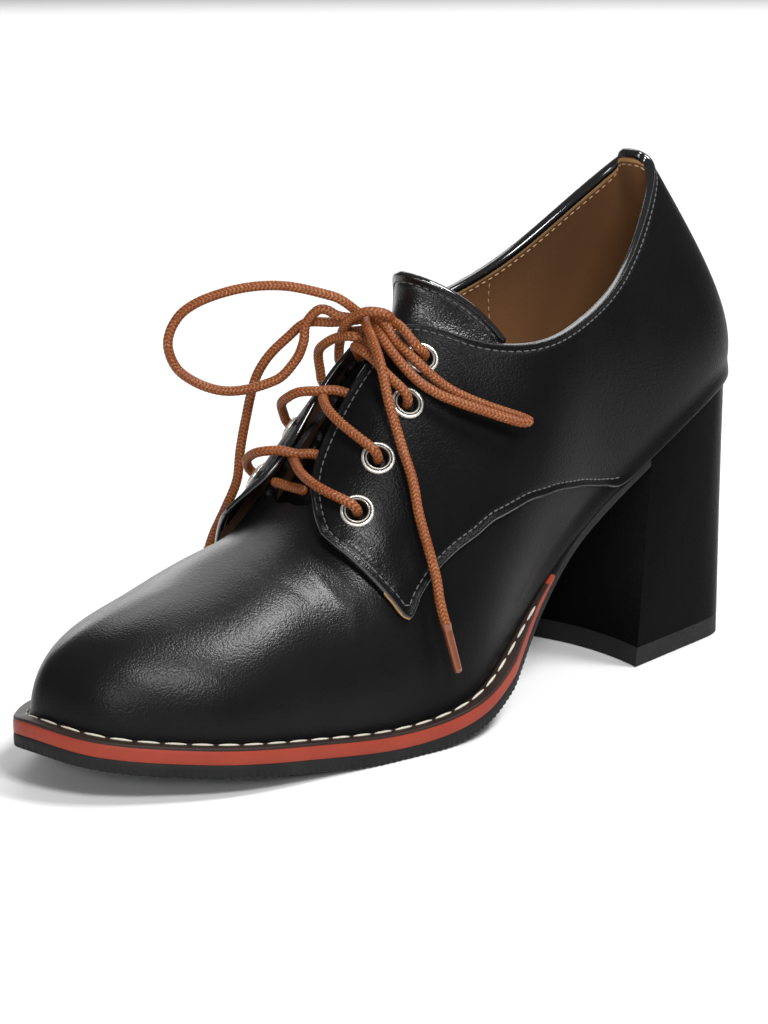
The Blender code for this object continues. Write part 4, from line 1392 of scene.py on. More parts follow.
@dataclass
class Quarter:
    """Leather overlay of one side, from the back seam to its facing, with folded and stitched edges."""

    form: UpperForm
    side: Side
    fold: FoldedEdge = FoldedEdge()
    front: float = 9.13
    collar_wrap: float = 1.5
    hole: float = 2.75
    hole_depth: float = 8.0
    seat_end: float = 3.5
    # Lower front corner, where the cut edge shows: sections, height share, widths inside and outside
    corner_from: float = 8.2
    corner_to: float = 8.55
    corner_high: float = 0.55
    corner_turn: float = 0.6
    corner_cut: float = 0.25
    # Where the lining begins inside, from the free edge and below the collar
    lined_in: float = 0.45
    lined_below: float = 1.75
    # Inside of the facing, black but for a strip of cut edge
    facing_from: float = 6.7
    facing_width: float = 9.0
    strip_from: float = 1.3
    strip_to: float = 2.0
    front_polish: float = 0.75
    obj: Piece | None = field(default=None, init=False)
    sheet: tuple[Array, ...] = field(default=(), init=False)

    @property
    def word(self) -> str:
        """Side word used in names."""
        return self.side.name.lower()

    def low(self, u: Array) -> Array:
        """Height share of the lower edge."""
        t = np.array([(r.u, r.v) for r in QUARTER_LOW])
        return curve_at(u, t[:, 0], t[:, 1])

    def facing(self, u: Array) -> Array:
        """Distance of the facing's edge from the middle."""
        t = np.array([(r.u, r.outer if self.side is Side.OUTER else r.inner) for r in FACING])
        return curve_at(u, t[:, 0], t[:, 1])

    def high(self, u: Array) -> Array:
        """Height share of the collar and facing edge."""
        return LAST.share_at(LAST.number(u, self.side), self.facing(u))

    def base(self, u: Array, v: Array) -> Array:
        """Offset of the panel's underside from the form."""
        n = LAST.number(u, self.side)
        return self.form.flap(n, v) - self.form.sink(n, v) + self.form.gap

    def outside(self, u: Array, v: Array) -> Pair:
        """Places and normals of the flat outer face.

        Args:
            u: Section numbers.
            v: Height shares.

        Returns:
            Places and unit normals, as fwd, out, z.
        """
        e = 0.015
        spot = []
        for du, dv in ((0, 0), (e, 0), (-e, 0), (0, e), (0, -e)):
            a, b = u + du, v + dv
            spot.append(LAST.shell(LAST.number(a, self.side), b, self.base(a, b) + self.fold.thickness))
        n = unit(np.cross(spot[3] - spot[4], spot[1] - spot[2])) * self.side.value
        return spot[0], n

    def eyelet(self, place: EyeletPlace) -> Pair:
        """Finds an eyelet on the outer face.

        Args:
            place: The eyelet's place.

        Returns:
            Its centre and axis, as fwd, out, z.
        """
        u, v = (np.array([x]) for x in place.on(self.side))
        spot, n = self.outside(u, v)
        return spot[0], n[0]

    def slots(self, u: Array, v: Array, away: Array, on_top: Array) -> Pair:
        """Finish numbers of the faces: 0 leather, 1 lining, 2 cut edge.

        Args:
            u: Section numbers of the grid.
            v: Its height shares.
            away: Its distances from the free edge.
            on_top: Its distances from the collar and facing edge.

        Returns:
            The numbers outside and inside.
        """
        away = per_face(away)
        u, v, on_top = (x[:-1, :-1] for x in (u, v, on_top))
        corner = (u > self.corner_from) & (u < self.corner_to) & (v < self.corner_high)
        corner &= away < self.corner_turn
        inside = ((away > self.lined_in) & (on_top > self.lined_below)).astype(int)
        facing = (u > self.facing_from) & (on_top < self.facing_width)
        strip = 2 * ((away > self.strip_from) & (away < self.strip_to))
        inside = np.where(corner, 2, np.where(facing, strip, inside))
        return np.where(corner & (away < self.corner_cut), 2, 0), inside

    def edge_line(self, u: Array) -> Array:
        """The free edge: collar and facing forwards, round the front, lower edge back to the heel."""
        n = LAST.number(u, self.side)
        upper = LAST.point(n, self.high(u))
        v = np.linspace(self.high(u[-1:])[0], self.low(u[-1:])[0], 12)
        tip = LAST.point(np.full(12, n[-1]), v)
        lower = LAST.point(n, self.low(u))[::-1]
        return np.concatenate([upper, tip[1:-1], lower])

    def build(self) -> Piece:
        """Makes the panel, cuts its eyelet holes and returns it."""
        u = np.concatenate([np.linspace(0.012, 0.1, 5), np.linspace(0.16, 6.8, 120),
                            np.linspace(6.84, 8.84, 66), np.linspace(8.86, self.front, 26)])
        n = LAST.number(u, self.side)
        low, high = self.low(u), self.high(u)
        shares = edge_rows(np.maximum(LAST.height(n, low, high), 0.5))
        v = low + (high - low) * shares
        uu = np.broadcast_to(u, v.shape)
        nn = np.broadcast_to(n, v.shape)
        base = self.base(uu, v)
        form = LAST.point(nn, v)
        normal = LAST.normal(nn, v)
        fine = np.linspace(u[0], u[-1], 900)
        away = edge_distance(form, even(self.edge_line(fine), 0.5))
        back = np.linalg.norm(form - LAST.point(np.zeros(v.shape), v), axis=2)
        on_top = edge_distance(form, even(LAST.point(LAST.number(fine, self.side), self.high(fine)), 0.5))
        away = np.minimum(away, np.maximum(back - 0.02, 0.0) + 0.35 + 3.0 * (1.0 - ease(on_top, 2.0, 5.0)))
        collar = (1.0 - ease(on_top, 1.7, 2.6)) * (1.0 - ease(uu, 6.3, 6.9))
        wrap = self.collar_wrap * collar
        thick = self.fold.thickness + wrap
        round_out = self.fold.rounding(away, 0.75 + 0.6 * collar)
        middle = base - wrap + 0.5 * thick
        seated = (1.0 - ease(uu, 3.3, 3.6)) * (1.0 - ease(v, 0.08, 0.12))
        outer = middle + 0.5 * thick * round_out + self.fold.relief(away) * (1.0 - seated)
        inner = middle - 0.5 * thick * round_out
        draft = Draft()
        if self.side is Side.OUTER:
            outer = outer + sum(c.relief(form) for c in FLAP_CREASES) * ease(away, 0.8, 2.4)
        front = self.front_polish * ease(uu, 8.25, 8.6) * (1.0 - 0.8 * ease(v, 0.62, 0.8))
        gloss = np.maximum(self.fold.gloss(away) * (1.0 - seated), front)
        face = form + normal * outer[..., None]
        self.sheet = (u, away, face, normal)
        top = draft.add(face, gloss)
        under = draft.add(form + normal * inner[..., None], gloss)
        outside, inside = self.slots(uu, v, away, on_top)
        draft.skin(top, slot=outside)
        draft.skin(under, flip=True, slot=inside)
        draft.rim(top, under)
        finishes = (Palette.leather, Palette.lining, Palette.raw_edge)
        self.obj = draft.piece("quarter_leather_" + self.word, finishes, 1.2)
        self.pierce()
        return settle(self.obj, ("quarter_" + self.word,))

    def pierce(self) -> None:
        """Cuts the holes that the eyelets sit in."""
        cutters = []
        for k, place in enumerate(EYELETS):
            spot, n = self.eyelet(place)
            bm = bmesh.new()
            bmesh.ops.create_cone(bm, cap_ends=True, segments=28, radius1=self.hole * MM,
                                  radius2=self.hole * MM, depth=self.hole_depth * MM)
            cutter = placed("punch", bm)
            turn = Vector(direction(n)).to_track_quat("Z", "Y").to_matrix().to_4x4()
            cutter.matrix_world = Matrix.Translation(Vector(to_frame(spot))) @ turn
            mod = self.obj.modifiers.new("hole_%d" % k, "BOOLEAN")
            mod.operation = "DIFFERENCE"
            mod.solver = "EXACT"
            mod.object = cutter
            cutters.append(cutter)
        plain_mesh(self.obj)
        for cutter in cutters:
            bpy.data.objects.remove(cutter, do_unlink=True)

    def stitch_row(self) -> Pair:
        """Path of the stitches inside the folded edge and the normals along it."""
        u, away, face, normal = self.sheet
        top, low = [], []
        for i in range(len(u)):
            deep = np.nonzero(away[:, i] > self.fold.stitch_in)[0]
            if not len(deep):
                continue
            for rows, j, k in ((low, deep[0], deep[0] - 1), (top, deep[-1], deep[-1] + 1)):
                t = (self.fold.stitch_in - away[k, i]) / (away[j, i] - away[k, i])
                spot = face[k, i] * (1.0 - t) + face[j, i] * t
                if rows is top or u[i] > self.seat_end:
                    rows.append((*spot, *normal[j, i]))
        row = np.array(top + low[::-1])
        return row[:, :3], row[:, 3:]


@dataclass(frozen=True)
class TongueRow:
    """A cross row of the tongue: place on the middle line, half widths, trail and drop of its sides."""

    fwd: float
    z: float
    half: float
    inner_half: float
    trail: float
    drop: float


TONGUE = tuple(TongueRow(*row) for row in (
    (157.0, 52.0, 13.0, 13.0, 0.0, 5.0),
    (148.3, 58.0, 15.0, 14.0, 0.0, 7.6),
    (138.0, 70.4, 16.0, 11.6, 0.0, 9.2),
    (128.5, 84.2, 16.0, 10.6, 0.0, 10.2),
    (120.0, 92.2, 16.0, 10.8, 1.5, 11.4),
    (113.4, 97.8, 16.5, 13.0, 6.0, 12.2),
    (110.4, 103.6, 18.5, 16.6, 11.5, 14.2),
    (109.8, 108.4, 20.0, 19.0, 15.5, 16.0),
    (110.2, 113.0, 21.0, 20.4, 17.0, 17.2),
))


@dataclass
class Tongue:
    """Leather tongue under the laces, with an arched and stitched top edge."""

    thick: float = 1.8
    fold: FoldedEdge = FoldedEdge(thickness=1.8, bead=0.25, groove=0.25, stitch_in=2.9)
    rows: int = 110
    across: int = 61
    # Row of the grid that carries the stitches, counted from the top edge
    stitch_line: int = 10
    polish: float = 0.84
    lined_in: float = 0.6
    obj: Piece | None = field(default=None, init=False)
    grid: Array | None = field(default=None, init=False)
    normal: Array | None = field(default=None, init=False)

    def build(self) -> Piece:
        """Makes the tongue."""
        table = smooth_rows([(r.fwd, r.z, r.half, r.inner_half, r.trail, r.drop) for r in TONGUE], 400)
        run = run_along(table[:, :2])
        near = np.array([0.0, 0.15, 0.4, 0.7, 1.05, 1.4, 1.8, 2.2, 2.55, 2.9, 3.25, 3.7, 4.3])
        at = np.concatenate([np.linspace(0.0, run[-1] - 5.0, self.rows), run[-1] - near[::-1]])
        table = np.stack([np.interp(at, run, table[:, k]) for k in range(6)], 1)
        q = np.sin(np.linspace(-0.5, 0.5, self.across) * math.pi)
        q = 0.5 * q + 0.5 * np.linspace(-1.0, 1.0, self.across)
        trail = 2.2 * q ** 2 / (1.0 + 1.2 * q ** 2)
        fwd, z, half, inner_half, back, drop = (table[:, k, None] for k in range(6))
        width = np.where(q < 0, inner_half, half)
        grid = np.stack([fwd - back * trail, width * q, z - drop * q ** 2], -1)
        n = unit(np.cross(np.gradient(grid, axis=0), np.gradient(grid, axis=1)))
        n *= np.sign(n[len(at) // 2, self.across // 2, 2])
        edge = np.concatenate([grid[:, 0], grid[-1], grid[::-1, -1]])
        away = edge_distance(grid, even(edge, 0.3))
        rounding = self.fold.rounding(away, 0.9)
        outer = -0.5 * self.thick + 0.5 * self.thick * rounding + self.fold.relief(away)
        inner = -0.5 * self.thick - 0.5 * self.thick * rounding
        gloss = np.maximum(self.fold.gloss(away), self.polish)
        draft = Draft()
        top = draft.add(grid + n * outer[..., None], gloss)
        under = draft.add(grid + n * inner[..., None], gloss)
        draft.skin(top)
        draft.skin(under, flip=True, slot=(per_face(away) > self.lined_in).astype(int))
        draft.rim(top, under)
        self.obj = draft.piece("tongue_leather", (Palette.leather, Palette.lining), 1.2)
        self.grid, self.normal = grid, n
        return settle(self.obj, ("tongue",))

    def stitch_row(self) -> Pair:
        """Path of the stitches below the top edge and the normals along it."""
        row = -self.stitch_line, slice(4, -4)
        return Surface(self.obj).nearest(self.grid[row] + self.normal[row] * 0.5)


@dataclass
class Sole:
    """Welt, red layer, outsole and insole, from the feather line and its margin."""

    welt: float = 0.7
    red: float = 3.35
    black: float = 3.4
    waist: float = 2.5
    waist_from: float = 72.0
    waist_to: float = 109.0
    gap: float = 0.06
    tooth_pitch: float = 1.9
    tooth_depth: float = 0.32

    def taper(self, u: Array) -> Array:
        """1 through the forefoot, 0 at waist and heel."""
        return ease(LAST.columns(u)[0][:, 0], self.waist_from, self.waist_to)

    def columns(self, first: float, step: float) -> Array:
        """Section numbers from a back end to the toe tip, even along the outer edge."""
        u = np.linspace(first, LAST.toe, 1500)
        run = run_along(LAST.feather(u, LAST.margin(u)))
        return np.interp(np.linspace(0.0, run[-1], int(run[-1] / step) + 1), run, u)

    def slab(self, name: str, u: Array, edge: Curve, top: Array, low: Array, side: Array,
             finish: Finish, hollow: float = 0.0, across: int = 15,
             comb: Callable[[Array, Array], Array] | None = None) -> Piece:
        """Makes a layer of the sole.

        Args:
            name: The piece's name.
            u: Section numbers of its columns.
            edge: Stand-out of its edge at ring numbers.
            top: Height of its top per column.
            low: Height of its underside per column.
            side: Rows of stand-out and height share down its side.
            finish: Its finish.
            hollow: Depth of the curve in its back end.
            across: Points across it.
            comb: Extra stand-out of the side at columns and height shares.

        Returns:
            The new piece.
        """
        t = np.linspace(-1.0, 1.0, across)
        s = 0.5 * (1.0 + t)[:, None]
        draft = Draft()
        rings = []
        back = hollow * (1.0 - ease(u, u[0], u[0] + 1.2))
        extra = np.zeros((len(side), len(u)))
        if comb is not None:
            run = run_along(LAST.feather(u, LAST.margin(u)))
            extra = np.array([comb(run, np.full(len(u), h)) for _, h in side])
        faces = [(n, [LAST.feather(n, edge(n) + side[j, 0] + extra[j]) for j in range(len(side))])
                 for n in (u, LAST.ring - u)]
        for k in range(len(u)):
            outer = np.array([faces[0][1][j][k] for j in range(len(side))])
            inner = np.array([faces[1][1][j][k] for j in range(len(side))])
            for wall in (outer, inner):
                wall[:, 2] = top[k] + (low[k] - top[k]) * side[:, 1]
            rows = []
            for j in (0, -1):
                p = inner[j] * (1.0 - s) + outer[j] * s
                p[:, 0] -= back[k] * (1.0 - t ** 2)
                rows.append(p)
            rings.append(np.concatenate([rows[0], outer[1:-1], rows[1][::-1], inner[-2:0:-1]]))
        grid = draft.add(np.array(rings))
        draft.skin(looped(grid))
        first = grid[0]
        n = len(side) - 2
        head, foot = first[:across], first[across + n:2 * across + n][::-1]
        left, right = first[2 * across + n:][::-1], first[across:across + n]
        if n > 0:
            between = [np.array([left[j]] + [-1] * (across - 2) + [right[j]]) for j in range(n)]
            self.cap(draft, [head, *between, foot])
        else:
            draft.skin(np.stack([head, foot]))
        return draft.piece(name, (finish,), 0.7)

    @staticmethod
    def cap(draft: Draft, rows: list[Array]) -> None:
        """Closes a back end.

        Args:
            draft: The layer.
            rows: Point numbers of its top row, of the side points between and of its bottom row.
        """
        points = np.concatenate(draft.points)
        head, foot = points[rows[0]], points[rows[-1]]
        full = [rows[0]]
        for row in rows[1:-1]:
            share = (points[row[0], 2] - head[0, 2]) / min(foot[0, 2] - head[0, 2], -1e-6)
            mid = draft.add(head[1:-1] * (1.0 - share) + foot[1:-1] * share)
            full.append(np.concatenate([row[:1], mid, row[-1:]]))
        full.append(rows[-1])
        draft.skin(np.stack(full))

    def build(self) -> list[Piece]:
        """Makes all layers of the sole."""
        return [self.build_welt(), self.build_red(), self.build_outsole(), self.build_insole()]

    def build_welt(self) -> Piece:
        """Ledge round the forefoot, thinning to its ends."""
        half = self.columns(4.75, 1.0)
        u = np.concatenate([half, LAST.ring - half[-2::-1]])
        thick = np.maximum(self.welt * self.taper(u), 0.12)
        top = LAST.seat(u) - 0.05
        draft = Draft()
        rows = []
        edge = LAST.margin(u) - 0.05
        profile = ((edge - 0.35, 0.0), (edge - 0.12, 0.12), (edge, 0.45), (edge, 1.0),
                   (-2.4, 1.0), (-2.4, 0.0), (0.3, 0.0))
        for out, drop in profile:
            p = LAST.feather(u, out)
            p[:, 2] = top - thick * drop
            rows.append(p)
        grid = draft.add(np.array(rows))
        grid = np.concatenate([grid, grid[:1]])
        draft.skin(grid)
        for end, flip in ((0, False), (-1, True)):
            ring = grid[:-1, end]
            draft.skin(np.stack([ring[[0, 1, 2, 3]], ring[[6, 6, 5, 4]]]), flip=flip)
        obj = draft.piece("welt_strip", (Palette.welt,), 0.8)
        return settle(obj, ("welt",))

    def build_red(self) -> Piece:
        """Red layer, running out at the waist."""
        u = self.columns(4.62, 0.9)
        seat, t = LAST.seat(u), self.taper(u)
        top = seat - 0.05 - (self.welt + 0.04) * t
        low = np.minimum(seat - 0.09 - (self.welt + self.red + 0.15) * t, top - 0.02)
        side = np.array([(-0.12, 0.0), (0.0, 0.06), (0.05, 0.3), (0.05, 0.7), (0.0, 0.94), (-0.12, 1.0)])
        obj = self.slab("red_layer", u, LAST.margin, top, low, side, Palette.red)
        return settle(obj, ("midsole",))

    def teeth(self, run: Array, share: Array) -> Array:
        """Fine ribs along the outsole's lower edge."""
        wave = 0.5 - 0.5 * np.cos(2 * np.pi * run / self.tooth_pitch)
        return -self.tooth_depth * wave * ease(share, 0.45, 0.75) * ease(run, 60.0, 80.0)

    def build_outsole(self) -> Piece:
        """Outsole from the heel's breast to the toe, with a ribbed lower edge."""
        u = self.columns(3.03, 0.38)
        seat, t = LAST.seat(u), self.taper(u)
        top = seat - 0.12 - (self.welt + self.red + 0.2) * t
        low = np.maximum(top - self.waist - (self.black - self.waist) * t, 0.0)
        side = np.array([(-0.15, 0.0), (0.0, 0.07), (0.04, 0.4), (0.0, 0.6), (-0.05, 0.8), (-0.1, 0.93),
                         (-0.35, 1.0)])
        obj = self.slab("outsole_rubber", u, LAST.margin, top, low, side, Palette.rubber,
                        hollow=5.0, across=11, comb=self.teeth)
        return settle(obj, ("outsole",))

    @staticmethod
    def insole_edge(u: Array) -> Array:
        """Stand-out of the insole's edge, inside the upper's wall."""
        return -2.9 + 0.9 * ease(LAST.folded(u), 3.5, 8.5)

    def build_insole(self) -> Piece:
        """Soft insole within the upper's wall."""
        u = self.columns(0.0, 1.5)
        low = LAST.seat(u) + 0.25
        side = np.array([(-0.5, 0.0), (-0.15, 0.15), (0.0, 0.45), (0.0, 1.0)])
        obj = self.slab("insole_sock", u, self.insole_edge, low + 2.4, low, side, Palette.lining)
        return settle(obj, ("insole",))

    def stitch_row(self) -> Pair:
        """Path of the welt's long stitches close to the upper and the normals along it."""
        u = np.linspace(5.05, LAST.ring - 5.05, 900)
        path = LAST.feather(u, 1.15)
        path[:, 2] += -0.05
        return path, np.tile([0.0, 0.0, 1.0], (len(u), 1))


@dataclass(frozen=True)
class HeelRib:
    """A rib of the heel block at its base and at the seat."""

    base_fwd: float
    base_half: float
    seat_fwd: float
    seat_half: float


HEEL = tuple(HeelRib(*row) for row in (
    (0.2, 0.0, -0.5, 0.0),
    (0.3, 8.0, -0.4, 8.0),
    (0.9, 14.0, 0.3, 14.4),
    (2.6, 18.3, 3.0, 19.4),
    (7.0, 20.9, 8.6, 23.0),
    (14.0, 22.4, 15.0, 24.6),
    (25.0, 24.1, 24.0, 25.8),
    (36.0, 25.8, 33.0, 26.5),
    (47.5, 27.6, 41.2, 26.8),
))


@dataclass
class Heel:
    """Glossy block heel with a hollowed breast, and its rubber top lift."""

    lift: float = 5.2
    hollow: float = 5.0
    inner_share: float = 0.93
    seat_z: float = 62.0
    bevel: float = 0.35

    def ribs(self) -> Array:
        """Rib rows on smooth curves, back to breast."""
        base = smooth_rows([(r.base_fwd, r.base_half, 0.0) for r in HEEL], 64)
        seat = smooth_rows([(r.seat_fwd, r.seat_half, 0.0) for r in HEEL], 64)
        return np.column_stack([base[:, :2], seat[:, :2]])

    def seat_at(self, fwd: Array) -> Array:
        """Feather height over a distance from the heel's back."""
        r, _ = LAST.columns(np.linspace(0.0, 6.0, 400))
        order = np.argsort(r[:, 0])
        return np.interp(fwd, r[order, 0], r[order, 2])

    def block(self, name: str, low: Array, high: Array, low_z: Curve,
              high_z: Curve, levels: int, finish: Finish) -> Piece:
        """Makes a block between two outlines of fwd, half width rows.

        Args:
            name: The piece's name.
            low: Outline of its base.
            high: Outline of its top.
            low_z: Height of its base over fwd.
            high_z: Height of its top over fwd.
            levels: Rows up its sides.
            finish: Its finish.

        Returns:
            The new piece.
        """
        t = np.linspace(-1.0, 1.0, 33)
        bend = self.hollow * (np.linspace(0.0, 1.0, len(low)) ** 3)[:, None]
        draft = Draft()
        layers = []
        for s in np.linspace(0.0, 1.0, levels):
            mix = low * (1 - s) + high * s
            fwd = mix[:, :1] - bend * (1.0 - t ** 2)
            out = mix[:, 1:2] * t * np.where(t < 0, self.inner_share, 1.0)
            layers.append(np.stack([fwd, out, low_z(fwd) * (1 - s) + high_z(fwd) * s], -1))
        grid = draft.add(np.array(layers))
        draft.skin(grid[0], flip=True)
        draft.skin(grid[-1])
        draft.skin(grid[:, :, 0], flip=True)
        draft.skin(grid[:, :, -1])
        draft.skin(grid[:, -1, :], flip=True)
        obj = draft.piece(name, (finish,), 0.5)
        mod = obj.modifiers.new("bevel", "BEVEL")
        mod.width = self.bevel * MM
        mod.segments = 3
        mod.limit_method = "ANGLE"
        mod.angle_limit = 0.7
        plain_mesh(obj)
        return obj

    def build(self) -> list[Piece]:
        """Makes the block and the top lift."""
        r = self.ribs()
        cut = (self.lift + 0.1) / self.seat_z
        at_cut = r[:, :2] * (1 - cut) + r[:, 2:] * cut
        block = self.block("heel_block", at_cut, r[:, 2:], lambda x: self.lift + 0.1 + 0 * x,
                           lambda x: self.seat_at(x) - 0.15, 30, Palette.heel)
        shrink = np.array([1.0, 0.994])
        lift = self.block("top_lift", r[:, :2] * shrink, at_cut * shrink, lambda x: 0 * x,
                          lambda x: self.lift + 0 * x, 6, Palette.rubber)
        return [settle(block, ("heel",)), settle(lift, ("heel_toplift",))]


@dataclass
class Eyelets:
    """Rolled metal eyelets, set through the facings."""

    quarters: Sequence[Quarter]
    radius: float = 4.3
    bore: float = 2.3
    rise: float = 0.85
    depth: float = 2.0
    turns: int = 44
    # From the rim inwards: distance, share of the rise, 1 where shade is painted dark into the metal
    lips: Sequence[tuple[float, float, float]] = (
        (0.05, -0.25, 0.0), (0.0, 0.15, 0.0), (0.12, 0.55, 0.0), (0.32, 0.8, 0.0), (0.55, 0.82, 0.0),
        (0.7, 0.7, 0.5), (0.8, 0.6, 1.0), (0.98, 0.6, 1.0), (1.06, 0.72, 0.5), (1.16, 0.95, 0.0),
        (1.28, 1.0, 0.0), (1.38, 0.85, 0.2), (1.5, 0.5, 1.0), (1.8, 0.1, 1.0))

    def template(self) -> Piece:
        """One eyelet about its X axis: a flange with an outer and an inner lip, and a barrel."""
        profile = [(self.radius - r, h * self.rise, dark) for r, h, dark in self.lips]
        barrel = self.bore + 0.3
        # The bore and barrel get painted shade
        profile += [(self.bore, -0.5, 1.0), (self.bore, -self.depth, 1.0), (barrel, -self.depth, 1.0),
                    (barrel, -0.3, 1.0)]
        bm = bmesh.new()
        mark = bm.verts.layers.float.new("edge")
        rings = []
        for k in range(self.turns):
            angle = 2 * math.pi * k / self.turns
            c, s = math.cos(angle), math.sin(angle)
            ring = [bm.verts.new((h * MM, r * c * MM, r * s * MM)) for r, h, _ in profile]
            for vert, (_, _, dark) in zip(ring, profile):
                vert[mark] = dark
            rings.append(ring)
        for k in range(self.turns):
            p, q = rings[k], rings[(k + 1) % self.turns]
            for i in range(len(profile)):
                j = (i + 1) % len(profile)
                bm.faces.new((p[i], p[j], q[j], q[i]))
        bmesh.ops.recalc_face_normals(bm, faces=bm.faces)
        obj = placed("eyelet_template", bm)
        obj.data.shade_smooth()
        obj.data.set_sharp_from_angle(angle=0.9)
        return obj

    def build(self) -> Piece:
        """Sets the eyelets into both facings."""
        places, axes, names = [], [], []
        for quarter in self.quarters:
            for k, place in enumerate(EYELETS):
                spot, n = quarter.eyelet(place)
                places.append(spot)
                axes.append(direction(n))
                names.append("eyelet_%s_%d" % (quarter.word, k + 1))
        axes = unit(np.array(axes))
        up = np.cross(axes, np.array([0.0, 1.0, 0.0]))
        spots = to_frame(np.array(places))
        obj = SetOut.make("eyelet_rings", self.template(), spots, axes, up, np.ones(3), Palette.metal)
        return settle(obj, names)


@dataclass
class Braid:
    """Round braided cord along a path, with its plaits in the mesh."""

    diameter: float = 2.6
    sides: int = 32
    step: float = 0.22
    plaits: int = 4
    plait_length: float = 1.05
    plait_lean: float = 0.8
    plait_depth: float = 0.08

    def tube(self, draft: Draft, path: Array, closed: bool = False) -> Array:
        """Adds a braided tube.

        Args:
            draft: Piece to add it to.
            path: Points of the route as fwd, out, z.
            closed: Whether the route is a ring; otherwise its ends are rounded off.

        Returns:
            The centre of every ring of the tube.
        """
        line = even(path, self.step)
        if closed:
            line = line[:-1]
            t = unit(np.roll(line, -1, 0) - np.roll(line, 1, 0))
        else:
            t = unit(np.gradient(line, axis=0))
        a = np.linspace(0.0, 2 * np.pi, self.sides, endpoint=False)
        run = np.arange(len(line)) * self.step
        zigzag = np.abs(np.mod(self.plaits * a / np.pi, 2.0) - 1.0)
        lean = 2 * np.pi * (run[:, None] + self.plait_lean * zigzag[None]) / self.plait_length
        seam = ease(np.minimum(zigzag, 1.0 - zigzag), 0.0, 0.22)
        plait = (0.5 + 0.5 * np.cos(lean)) * (0.45 + 0.55 * seam[None])
        radius = 0.5 * self.diameter - self.plait_depth * (1.0 - plait)
        if not closed:
            cap = 0.45 * self.diameter
            for at in (run, run[-1] - run):
                share = np.clip(at / cap, 0.0, 1.0)
                radius = radius * np.sqrt(np.maximum(1.0 - (1.0 - share) ** 2, 0.02))[:, None]
        # The plait height is kept as the mark, from which the cord's finish paints shade between the plaits
        grid = looped(draft.add(rings(line, t, radius), plait))
        if closed:
            draft.skin(np.concatenate([grid, grid[:1]]))
        else:
            draft.skin(grid)
            draft.caps(grid, line, 0.5)
        return line


# Lace through the throat, as fwd, out, z points: the bar at its foot, then the strands that leave each
# eyelet, toe end first, over their facing's edge and under the other facing
BAR = ((149.4, -7.6, 63.0), (150.0, -1.0, 62.9), (150.6, 5.8, 62.9))
STRANDS = {
    Side.OUTER: (
        ((153.2, 15.3, 65.0), (153.5, 10.3, 66.6), (151.5, 4.6, 67.8),
         (148.2, -0.6, 68.9), (145.6, -4.0, 69.1), (142.5, -7.5, 68.0)),
        ((142.2, 14.0, 77.9), (142.5, 9.6, 80.1), (141.6, 4.6, 82.4),
         (138.6, -0.2, 83.9), (135.4, -2.8, 83.2), (131.6, -5.4, 80.8)),
        ((129.0, 12.6, 91.2), (129.1, 8.2, 94.2), (128.9, 3.6, 95.8),
         (127.0, -0.3, 95.8), (124.2, -2.0, 93.6), (121.8, -3.6, 91.6)),
    ),
    Side.INNER: (
        ((149.6, -17.0, 67.0), (151.3, -13.2, 69.4), (151.6, -9.2, 70.9), (149.2, -5.2, 71.4),
         (146.5, -1.5, 70.7), (143.1, 0.9, 70.5), (141.6, 4.2, 69.8)),
        ((139.0, -15.0, 80.4), (140.6, -11.2, 82.9), (140.2, -7.2, 84.9),
         (137.4, -2.4, 85.5), (134.2, 0.2, 85.5), (130.9, 3.2, 84.2)),
        ((127.4, -13.2, 92.6), (128.2, -9.6, 95.6), (127.6, -5.6, 97.6),
         (127.0, -0.2, 98.3), (123.6, 1.4, 96.2), (121.6, 2.6, 94.2)),
    ),
}

# Free cords of the bow, each a route of fwd, out, z points
KNOT_RING = (
    (128.1, -3.1, 100.9), (128.2, 0.3, 103.7), (127.4, 4.5, 105.6), (125.1, 7.2, 105.4),
    (123.3, 7.9, 104.5), (119.7, 5.8, 102.0), (118.0, 1.6, 99.6), (120.1, -3.1, 98.8),
    (124.4, -4.6, 98.9),
)
LOOP_OUTER = (
    (123.1, 5.6, 102.7), (122.4, 9.8, 98.0), (121.4, 15.3, 94.0), (118.8, 18.4, 90.2),
    (115.6, 21.4, 86.6), (111.7, 24.4, 83.9), (107.4, 27.3, 81.6), (102.3, 30.3, 79.3),
    (99.3, 32.0, 78.0), (99.0, 34.5, 77.3), (101.4, 34.3, 77.3), (104.6, 32.4, 78.5), (109.7, 29.5, 80.7),
    (114.6, 26.4, 82.9), (119.4, 22.5, 85.5), (123.0, 18.3, 89.0), (124.6, 13.5, 93.4),
    (124.8, 8.0, 98.1), (123.1, 2.3, 102.0),
)
LOOP_INNER = (
    (127.8, -2.7, 106.9), (130.3, -4.9, 108.7), (139.2, -14.9, 111.3), (147.8, -24.6, 109.8),
    (155.6, -33.5, 104.4), (158.7, -36.3, 96.4), (156.6, -33.8, 88.5), (149.1, -25.6, 83.8),
    (140.2, -15.9, 86.7), (136.2, -12.5, 91.9), (134.5, -11.4, 96.5), (133.7, -11.3, 101.1),
    (131.6, -9.3, 104.6), (130.4, -7.3, 104.9), (128.6, -4.4, 103.4),
)
END_OUTER = (
    (126.0, 2.7, 102.2), (129.4, 8.9, 98.3), (131.9, 13.6, 94.5), (132.5, 15.6, 90.2),
    (133.2, 18.0, 85.0), (133.7, 23.0, 74.5), (134.5, 27.5, 66.9), (135.9, 31.2, 58.7),
    (136.3, 34.5, 51.6), (136.3, 37.6, 43.6), (137.0, 39.8, 37.2), (136.4, 41.8, 30.4),
    (135.3, 44.6, 19.9),
)
END_INNER = (
    (127.8, -6.7, 101.4), (130.9, -14.2, 100.6), (133.6, -18.0, 96.8), (136.8, -22.3, 91.3),
    (138.6, -25.2, 85.2), (139.5, -28.0, 74.1), (139.8, -29.8, 65.8), (139.6, -31.4, 57.6),
    (141.0, -34.6, 49.5), (142.0, -38.2, 42.0), (142.2, -41.3, 33.8), (142.3, -43.6, 25.8),
)
